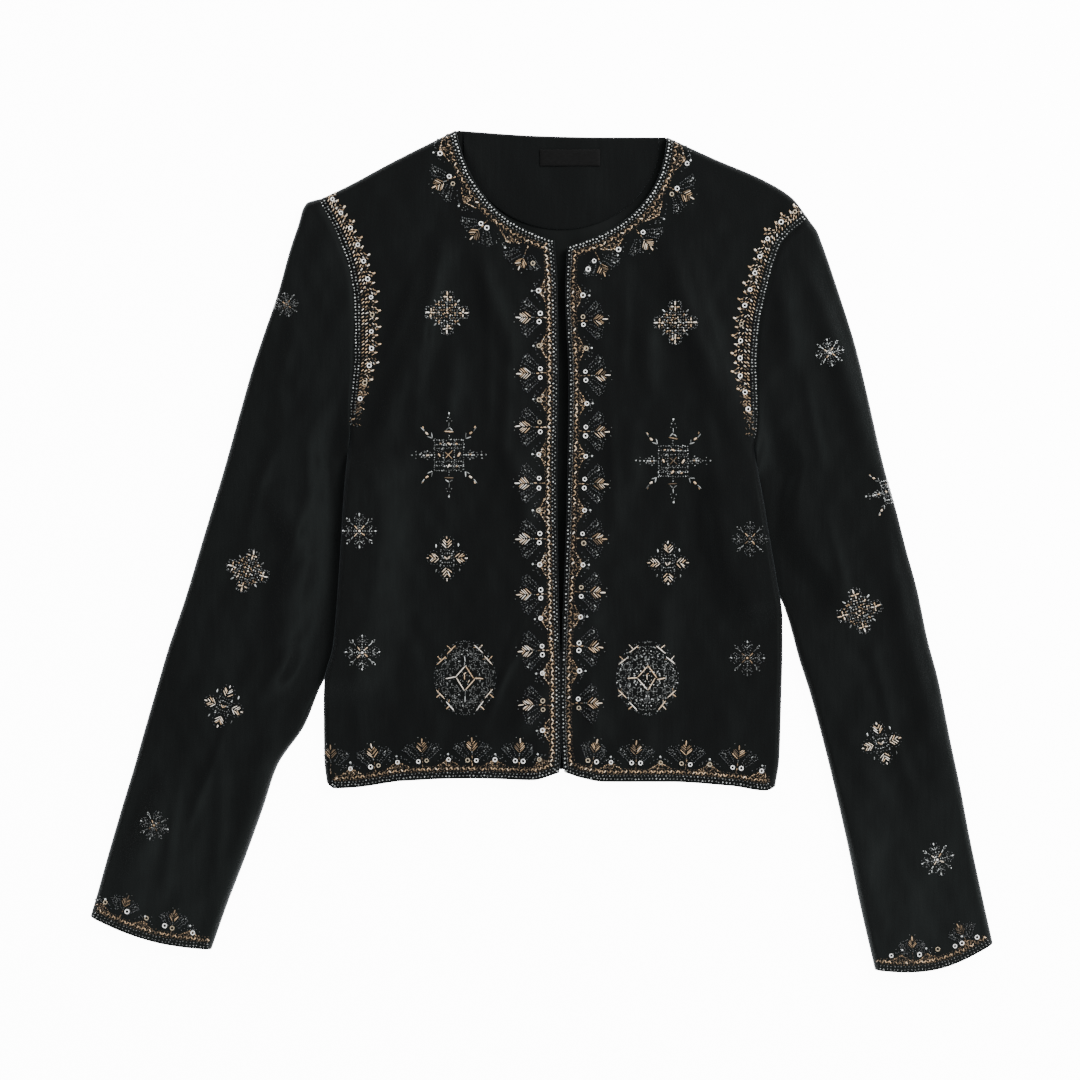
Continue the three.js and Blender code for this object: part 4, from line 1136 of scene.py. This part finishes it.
def front_trimming(half, rng):
    """Borders and motifs of one front."""
    trim = Trimming(rng)
    places = PLACES[half["name"]]
    border = FRONT_BORDER[half["name"]]
    bright, sink = border["bright"], border["sink"]
    front, neck, hem = front_line(half), neck_line(half), hem_line(half)
    trim.sew(edging(front.length, 1, 1, border["rows"], border["chain_at"], bright), front.carry)
    trim.sew(edging(neck.length - 2, 1, 0, NECK_ROWS, 7.2, 0.9), neck.carry)
    trim.sew(edging(hem.length - 3, 1, 0, HEM_ROWS, 7.4, 0.75, 4.4), hem.carry)
    down = lambda key: [(EDGE_COLUMN, py) for py in places[key]]
    across = lambda key: [(px, HEM_ROW) for px in places[key]]
    trim.along(front, down("front_sprigs"), lambda: sprig(bright, 0.75), sink=sink)
    trim.along(front, down("front_triangles"), lambda: border_triangle(rng, bright), sink=sink)
    trim.along(hem, across("hem_sprigs"), lambda: sprig(0.7, 0.6), 0.93)
    trim.along(hem, across("hem_triangles"), lambda: border_triangle(rng, 0.8), 0.93)
    trim.along(neck, places["neck_sprigs"], lambda: plain_sprig(0.85, 0.8), 0.86, -2.6)
    trim.along(neck, places["neck_triangles"], lambda: border_triangle(rng, 1.0, False))
    for px, py in places["neck_sequins"]:
        trim.motif(dots(SEQUIN, 0, 0, 4.1, 1.0), px, py)
    armhole = armhole_line(half)
    trim.sew(armhole_band(rng, armhole.length), armhole.carry)
    if half["outward"] < 0:
        trim.motif(plain_sprig(0.4, 0.5), 331, 785, 0.93)
        trim.motif(diamond_star(rng), 447, 313)
        trim.motif(large_star(rng), 449, 455)
        trim.motif(small_snowflake(1.15), 360, 531)
        trim.motif(four_petal(), 447, 558)
        trim.motif(small_snowflake(1.15), 363, 652)
        trim.motif(medallion(rng, 0.65), 465, 678)
    else:
        trim.motif(diamond_star(rng), 675, 323)
        trim.motif(large_star(rng), 673, 461)
        trim.motif(small_snowflake(0.7), 749, 539)
        trim.motif(four_petal(), 668, 563)
        trim.motif(small_snowflake(0.7), 747, 658)
        trim.motif(medallion(rng, 1.05), 647, 678)
    return trim


def sleeve_trimming(half, rng):
    """Cuff border and motifs of one sleeve."""
    trim = Trimming(rng)
    places = PLACES[half["name"]]
    cuff = cuff_line(half)
    trim.sew(edging(cuff.length, 0, 0, CUFF_ROWS, 7.4, 0.75, 4.4), cuff.carry)
    trim.along(cuff, places["cuff_sprigs"], lambda: plain_sprig(0.5, 0.4), 0.82)
    trim.along(cuff, places["cuff_triangles"], lambda: border_triangle(rng, 0.65, False), 0.85)
    for px, py in places["cuff_sequins"]:
        trim.motif(dots(SEQUIN, 0, 0, 4.0, 0.9), px, py)
    if half["outward"] < 0:
        trim.motif(small_snowflake(0.6), 287, 305, 0.68, 10)
        trim.motif(diamond_star(rng), 248, 571, 1.0, -18)
        trim.motif(four_petal(), 224, 706, 1.0, -18)
        trim.motif(small_snowflake(0.75), 155, 825, 0.85, -18)
    else:
        trim.motif(small_snowflake(1.3), 829, 353, 0.8, 12)
        trim.motif(large_star(rng), 893, 490, 0.75, 15)
        trim.motif(diamond_star(rng), 859, 611, 1.05, 15)
        trim.motif(four_petal(), 881, 743, 1.0, 15)
        trim.motif(small_snowflake(1.3), 937, 859, 0.95, 15)
    return trim


def spindle(profile, sides):
    """Small closed shape: a profile of place and radius carried round its own axis. Returns its points, with
    the axis along x, and its faces."""
    angle = 2 * np.pi * np.arange(sides) / sides
    across, up = np.tile([np.cos(angle), np.sin(angle)], len(profile))
    x, radius = np.repeat(np.array(profile, float), sides, axis=0).T
    points = np.stack([x, radius * across, radius * up], 1)
    index = np.arange(len(points)).reshape(len(profile), sides)
    caps = [index[0].tolist(), index[-1, ::-1].tolist()]
    return points, grid_faces(closed(index))[:, ::-1].tolist(), caps


def sequin_shape():
    """Cupped disc with a round hole: a thin closed profile carried once round the hole."""
    profile = np.array([(0.52, 0.06), (0.66, 0.18), (0.82, 0.24), (0.94, 0.12), (0.9, -0.02), (0.56, 0.0)])
    sides = 14
    angle = 2 * np.pi * np.arange(sides) / sides
    x, y = (np.outer(way, profile[:, 0]).ravel() for way in (np.cos(angle), np.sin(angle)))
    points = np.stack([x, y, np.tile(profile[:, 1], sides)], 1)
    index = np.arange(len(points)).reshape(sides, len(profile))
    return points, grid_faces(closed(closed(index.T).T))[:, ::-1].tolist(), []


# Profiles of a stitch and of a bead, as place and radius, and the shape that each kind of trimming has
STITCH = [(-1, 0.3), (-0.72, 0.85), (0, 1), (0.72, 0.85), (1, 0.3)]
BEAD = [(-1, 0.3), (-0.6, 0.82), (0, 1), (0.6, 0.82), (1, 0.3)]
SHAPES = {
    THREAD: spindle(STITCH, 5),
    SILVER: spindle(BEAD, 6),
    DARK: spindle(BEAD, 5),
    SEQUIN: sequin_shape(),
}


def sewn_object(name, kind, table, surface, material):
    """Copies of one small shape on the cloth. A point of a copy is its place, a little above the cloth, plus
    the shape's own numbers times half the length along the thread, half the width across it and half the
    width along the cloth's normal. What a line from above doesn't meet is left off."""
    above, down = 0.2, Vector((0, 0, -1))
    spots = (table[:, :2] + frame_shift()[:2]) * MM
    hits = [surface.ray_cast(Vector((*spot, above)), down) for spot in spots]
    found = [hit[0] is not None for hit in hits]
    table = table[found]
    place, normal = (np.array([hit[k] for hit in hits if hit[0] is not None]) for k in (0, 1))
    place /= MM
    normal *= np.sign(normal[:, 2:3])
    tangent = np.stack([np.cos(table[:, 2]), np.sin(table[:, 2]), 0 * table[:, 2]], 1)
    tangent -= normal * (tangent * normal).sum(1, keepdims=True)
    tangent /= np.linalg.norm(tangent, axis=1, keepdims=True)
    across = np.cross(normal, tangent)
    shape, quads, caps = SHAPES[kind]
    lift = 0.12 * table[:, 4]
    points = place[:, None] + normal[:, None] * lift[:, None, None]
    for axis, (way, column) in enumerate(((tangent, 3), (across, 4), (normal, 4))):
        reach = shape[:, axis] * table[:, column, None] / 2
        points = points + way[:, None] * reach[..., None]
    faces = []
    offsets = (np.arange(len(table)) * len(shape))[:, None]
    for group in (quads, caps):
        if group:
            block = np.array(group)
            faces += (block.ravel() + offsets).reshape(-1, block.shape[1]).tolist()
    tone = np.repeat(np.clip(table[:, 5], 0, TONE_LIMIT), len(shape))
    made = new_object(name, points.reshape(-1, 3) * MM, faces, "tone", tone)
    made.data.materials.append(material)
    return made


def top_surface(cloth):
    """The cloth's faces as a tree that a straight line from above can be cast on."""
    mesh = cloth.data
    points = np.empty(len(mesh.vertices) * 3)
    mesh.vertices.foreach_get("co", points)
    faces = [tuple(face.vertices) for face in mesh.polygons]
    return BVHTree.FromPolygons(points.reshape(-1, 3).tolist(), faces)


def node_material(name):
    """A new material, its node tree and its shader."""
    made = bpy.data.materials.new(name)
    made.use_nodes = True
    return made, made.node_tree, made.node_tree.nodes["Principled BSDF"]


def add_node(tree, kind, **values):
    """A node with some of its properties set."""
    node = tree.nodes.new(kind)
    for key, value in values.items():
        setattr(node, key, value)
    return node


def scaled(tree, value, factor, added=None):
    """A value times a number, plus another value if there is one."""
    node = add_node(tree, "ShaderNodeMath", operation="MULTIPLY" if added is None else "MULTIPLY_ADD")
    node.inputs[1].default_value = factor
    tree.links.new(value, node.inputs[0])
    if added is not None:
        tree.links.new(added, node.inputs[2])
    return node.outputs[0]


def stretched_noise(tree, scale, stretch, detail):
    """Noise on the piece's own coordinates, drawn out along Y."""
    place = add_node(tree, "ShaderNodeTexCoord")
    mapping = add_node(tree, "ShaderNodeMapping")
    mapping.inputs["Scale"].default_value = (scale, scale * stretch, scale)
    noise = add_node(tree, "ShaderNodeTexNoise")
    noise.inputs["Scale"].default_value = 1.0
    noise.inputs["Detail"].default_value = detail
    tree.links.new(place.outputs["Object"], mapping.inputs["Vector"])
    tree.links.new(mapping.outputs["Vector"], noise.inputs["Vector"])
    return noise.outputs["Fac"]


def colour_ramp(tree, source, stops):
    """A colour ramp on a value, from stops of place and colour."""
    node = add_node(tree, "ShaderNodeValToRGB")
    elements = node.color_ramp.elements
    while len(elements) < len(stops):
        elements.new(0.5)
    for element, (place, colour) in zip(elements, stops):
        element.position = place
        element.color = (*colour, 1)
    tree.links.new(source, node.inputs["Fac"])
    return node.outputs["Color"]


def bumped(tree, height, strength, distance, below=None):
    """The normal of a surface with a fine relief, laid over another relief if there is one."""
    bump = add_node(tree, "ShaderNodeBump")
    bump.inputs["Strength"].default_value = strength
    bump.inputs["Distance"].default_value = distance
    tree.links.new(height, bump.inputs["Height"])
    if below is not None:
        tree.links.new(below, bump.inputs["Normal"])
    return bump.outputs["Normal"]


def dress_shader(tree, shader, colour, relief, values):
    """Gives a shader its colour, its relief if it has one, and the plain values of its other sockets."""
    tree.links.new(colour, shader.inputs["Base Color"])
    if relief is not None:
        tree.links.new(relief, shader.inputs["Normal"])
    for name, value in values.items():
        shader.inputs[name].default_value = value


def velvet_material(colour, sheen):
    """Velvet: a near-black pile with a cool sheen, random streaks of its nap, painted paler and darker flanks
    of folds with painted highlight wisps on them, and a fine grain.
    """
    made, tree, shader = node_material("jacket_velvet")
    base = np.array(colour)
    # The points' painted fold shade, plus the nap's random tone from two noises. The ramp's upper stops, up to
    # 3.4 times the pile's colour, paint highlight wisps along the folds.
    value = add_node(tree, "ShaderNodeAttribute", attribute_name="paleness_and_painted_shade").outputs["Fac"]
    for scale, stretch, weight in ((26, 0.3, 0.24), (420, 0.1, 0.14)):
        value = scaled(tree, stretched_noise(tree, scale, stretch, 3), weight, value)
    stops = [(0.25, base * 0.5), (0.345, base), (0.41, base * 1.8), (0.51, base * 3.4)]
    shade = colour_ramp(tree, scaled(tree, value, 0.5), stops)
    streaks = bumped(tree, stretched_noise(tree, 120, 0.25, 3), 0.35, 0.002)
    pile = bumped(tree, stretched_noise(tree, 1500, 0.45, 3), 0.55, 0.0006, streaks)
    values = {
        "Roughness": 0.92, "Specular IOR Level": 0.12, "Sheen Weight": sheen, "Sheen Roughness": 0.42,
        "Sheen Tint": (0.62, 0.7, 0.78, 1),
    }
    dress_shader(tree, shader, shade, pile, values)
    return made


def lining_material():
    """Lining: plain black satin with a fine twill line."""
    made, tree, shader = node_material("jacket_lining")
    stops = [(0.3, (0.003, 0.0036, 0.0034)), (0.8, (0.007, 0.008, 0.0078))]
    shade = colour_ramp(tree, stretched_noise(tree, 30, 0.4, 3), stops)
    twill = bumped(tree, stretched_noise(tree, 2200, 0.15, 1), 0.3, 0.0003)
    dress_shader(tree, shader, shade, twill, {"Roughness": 0.6, "Specular IOR Level": 0.05})
    return made


def label_material():
    """Label: black woven ribbon with close ribs."""
    made, tree, shader = node_material("label_weave")
    shade = colour_ramp(tree, stretched_noise(tree, 300, 6.0, 2), [(0.3, (0.002,) * 3), (0.8, (0.0045,) * 3)])
    ribs = bumped(tree, stretched_noise(tree, 500, 8.0, 1), 0.4, 0.0002)
    dress_shader(tree, shader, shade, ribs, {"Roughness": 0.6, "Specular IOR Level": 0.07})
    return made


def trim_material(name, stops, roughness, metallic, grain):
    """Finish of the trimming: the colour follows each piece's tone, its own brightness times a random painted
    glint, with a fine twist or ripple on it.
    """
    made, tree, shader = node_material(name)
    tone = add_node(tree, "ShaderNodeAttribute", attribute_name="tone").outputs["Fac"]
    shade = colour_ramp(tree, scaled(tree, tone, 1 / TONE_LIMIT), stops)
    ripple = bumped(tree, stretched_noise(tree, grain, 1.0, 2), 0.5, 0.0002)
    dress_shader(tree, shader, shade, ripple, {"Roughness": roughness, "Metallic": metallic})
    return made


def trim_materials(settings):
    """The four finishes of the trimming, each with its colours, roughness, metal and grain."""
    gold, silver = np.array(settings.thread_colour), np.array(settings.bead_colour)
    # The top stops of the thread and the beads paint highlights in cream and near white.
    thread = [(0, gold * 0.03), (0.2, gold * 0.12), (0.4, gold * 0.45), (0.6, gold)]
    thread += [(0.78, gold**0.5), (1, gold**0.12)]
    bead = [(0, silver * 0.03), (0.25, silver * 0.16), (0.5, silver * 0.6), (0.75, silver), (1, silver**0.2)]
    dark = [(0, (0.004,) * 3), (0.6, (0.02, 0.023, 0.026)), (1, (0.07,) * 3)]
    # Bright sequins are painted white, a painted reflection; the dull ones keep a gold-brown.
    sequin = [(0, (0.10, 0.08, 0.05)), (0.2, (0.38, 0.31, 0.21)), (0.6, (1.0, 0.99, 0.96)), (1, (1, 1, 1))]
    return {
        THREAD: trim_material("metallic_thread", thread, 0.45, 0.15, 1800),
        SILVER: trim_material("silver_bead", bead, 0.3, 0.2, 900),
        DARK: trim_material("dark_bead", dark, 0.25, 0.1, 900),
        SEQUIN: trim_material("sequin", sequin, 0.3, 0.0, 500),
    }


class JacketSettings(bpy.types.PropertyGroup):
    """What can be set before the jacket is made"""

    cloth: FloatProperty(
        name="Cloth", description="Thickness of the velvet with its lining", unit="LENGTH",
        default=0.002, min=0.001, max=0.003,
    )
    crumple: FloatProperty(
        name="Crumple", description="Height of the fine unevenness of the laid cloth", unit="LENGTH",
        default=0.00019, min=0, max=0.001,
    )
    velvet_colour: FloatVectorProperty(
        name="Velvet", description="Colour of the velvet's pile", subtype="COLOR", size=3,
        default=(0.0024, 0.0029, 0.0028), min=0, max=1,
    )
    sheen: FloatProperty(
        name="Sheen", description="Strength of the velvet's sheen", subtype="FACTOR",
        default=0.11, min=0, max=1,
    )
    thread_colour: FloatVectorProperty(
        name="Thread", description="Colour of the champagne thread", subtype="COLOR", size=3,
        default=(0.63, 0.42, 0.24), min=0, max=1,
    )
    bead_colour: FloatVectorProperty(
        name="Beads", description="Colour of the silver beads", subtype="COLOR", size=3,
        default=(0.63, 0.66, 0.65), min=0, max=1,
    )
    seed: IntProperty(name="Seed", description="Start of the unevenness of the needlework", default=7, min=0)


def dress(made, nodes, slot, *materials):
    """Gives a piece its finishes, and puts it in the place of its solids."""
    for material in materials:
        made.data.materials.append(material)
    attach(made, "root")
    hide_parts(*nodes)
    return made


class JACKET_OT_body(bpy.types.Operator):
    """Makes the back and the two fronts"""

    bl_idname = "jacket.body"
    bl_label = "Back and fronts"

    def execute(self, context):
        settings = context.scene.jacket
        cloth, strength = settings.cloth / MM, settings.crumple / MM
        velvet = velvet_material(settings.velvet_colour, settings.sheen)
        lining = lining_material()
        back = dress(shell_mesh("velvet_back", *back_surface(cloth)), ["back"], "velvet", velvet, lining)
        for half, area in ((RIGHT, 0.0836), (LEFT, 0.0787)):
            node = "front_" + half["name"]
            made = shell_mesh("velvet_" + node, *front_surface(half, cloth, strength))
            dress(made, [node], "velvet", velvet, lining)
        return {"FINISHED"}


class JACKET_OT_sleeves(bpy.types.Operator):
    """Makes the two sleeves"""

    bl_idname = "jacket.sleeves"
    bl_label = "Sleeves"

    def execute(self, context):
        settings = context.scene.jacket
        cloth, strength = settings.cloth / MM, settings.crumple / MM
        for half, area in ((RIGHT, 0.120), (LEFT, 0.1125)):
            node = "sleeve_" + half["name"]
            made = shell_mesh("velvet_" + node, *sleeve_surface(half, cloth, strength), is_tube=True)
            finishes = [bpy.data.materials[key] for key in ("jacket_velvet", "jacket_lining")]
            dress(made, [node + "_top", node + "_under"], "velvet", *finishes)
        return {"FINISHED"}


class JACKET_OT_neck(bpy.types.Operator):
    """Makes the facing inside the neck and the blank label on it"""

    bl_idname = "jacket.neck"
    bl_label = "Facing and label"

    def execute(self, context):
        velvet = bpy.data.materials["jacket_velvet"]
        facing = shell_mesh("neck_facing", *facing_surface())
        dress(facing, ["back_neck_facing"], "facing", velvet, velvet)
        label = shell_mesh("woven_label", *label_surface())
        weave = label_material()
        dress(label, ["neck_label"], "label", weave, weave)
        return {"FINISHED"}


class JACKET_OT_trimming(bpy.types.Operator):
    """Sews the borders and the motifs on the fronts and the sleeves"""

    bl_idname = "jacket.trimming"
    bl_label = "Borders and motifs"

    def execute(self, context):
        settings = context.scene.jacket
        finishes = trim_materials(settings)
        panels = [("front_right", front_trimming, RIGHT), ("front_left", front_trimming, LEFT)]
        panels += [("sleeve_right", sleeve_trimming, RIGHT), ("sleeve_left", sleeve_trimming, LEFT)]
        for order, (panel, trimming, half) in enumerate(panels):
            trim = trimming(half, np.random.default_rng(settings.seed + order))
            surface = top_surface(bpy.data.objects["velvet_" + panel])
            for kind, name in enumerate(KINDS):
                table = np.concatenate(trim.rows[kind])
                made = sewn_object(panel + "_" + name, kind, table, surface, finishes[kind])
                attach(made, "root")
        return {"FINISHED"}


class JACKET_OT_stage(bpy.types.Operator):
    """Makes the pale floor, the soft light and the camera straight above"""

    bl_idname = "jacket.stage"
    bl_label = "Stage"

    def execute(self, context):
        scene = context.scene
        bpy.ops.mesh.primitive_plane_add(size=6, location=(0, 0, -0.0004))
        floor = context.object
        floor.name = "floor"
        made, tree, shader = node_material("pale_floor")
        shade = colour_ramp(tree, stretched_noise(tree, 60, 1.0, 5), [(0.3, (0.90,) * 3), (0.7, (0.94,) * 3)])
        glow = {"Roughness": 0.95, "Emission Color": (1, 1, 1, 1), "Emission Strength": FLOOR_GLOW}
        dress_shader(tree, shader, shade, None, glow)
        floor.data.materials.append(made)
        self.add_light("key", (1.3, 1.1, 1.5), 1.0, 62)
        self.add_light("fill", (-1.2, -0.6, 2.2), 2.0, 10)
        world = bpy.data.worlds.new("studio")
        scene.world = world
        world.use_nodes = True
        background = world.node_tree.nodes["Background"]
        background.inputs["Color"].default_value = (0.98, 0.99, 1, 1)
        background.inputs["Strength"].default_value = 0.95
        camera = bpy.data.cameras.new("camera")
        camera.lens = LENS
        camera.sensor_width = SENSOR
        holder = bpy.data.objects.new("camera", camera)
        middle = (photo_point(PHOTO_SIZE / 2, PHOTO_SIZE / 2) + frame_shift()[:2]) * MM
        width = PHOTO_SIZE * PIXEL * MM
        holder.location = (*middle, SCALE_HEIGHT + width * LENS / SENSOR)
        context.collection.objects.link(holder)
        scene.camera = holder
        return {"FINISHED"}

    def add_light(self, name, place, size, power):
        """A square area light that faces the jacket."""
        light = bpy.data.lights.new(name, "AREA")
        light.size = size
        light.energy = power
        holder = bpy.data.objects.new(name, light)
        holder.location = place
        holder.rotation_euler = Vector(place).to_track_quat("Z", "Y").to_euler()
        bpy.context.collection.objects.link(holder)


class JACKET_PT_panel(bpy.types.Panel):
    """Shows the settings and the operators in the sidebar"""

    bl_idname = "JACKET_PT_panel"
    bl_label = "Velvet jacket"
    bl_space_type = "VIEW_3D"
    bl_region_type = "UI"
    bl_category = "Jacket"

    def draw(self, context):
        for key in JacketSettings.__annotations__:
            self.layout.prop(context.scene.jacket, key)
        for operator in OPERATORS:
            self.layout.operator(operator.bl_idname)


OPERATORS = (JACKET_OT_body, JACKET_OT_sleeves, JACKET_OT_neck, JACKET_OT_trimming, JACKET_OT_stage)
CLASSES = (JacketSettings, *OPERATORS, JACKET_PT_panel)


def register():
    """Adds the classes and the settings to Blender."""
    for kind in CLASSES:
        bpy.utils.register_class(kind)
    bpy.types.Scene.jacket = PointerProperty(type=JacketSettings)


def unregister():
    """Takes the settings and the classes out again."""
    del bpy.types.Scene.jacket
    for kind in reversed(CLASSES):
        bpy.utils.unregister_class(kind)


def main():
    """Makes every piece and the stage."""
    register()
    bpy.ops.jacket.body()
    bpy.ops.jacket.sleeves()
    bpy.ops.jacket.neck()
    bpy.ops.jacket.trimming()
    bpy.ops.jacket.stage()


if __name__ == "__main__":
    main()
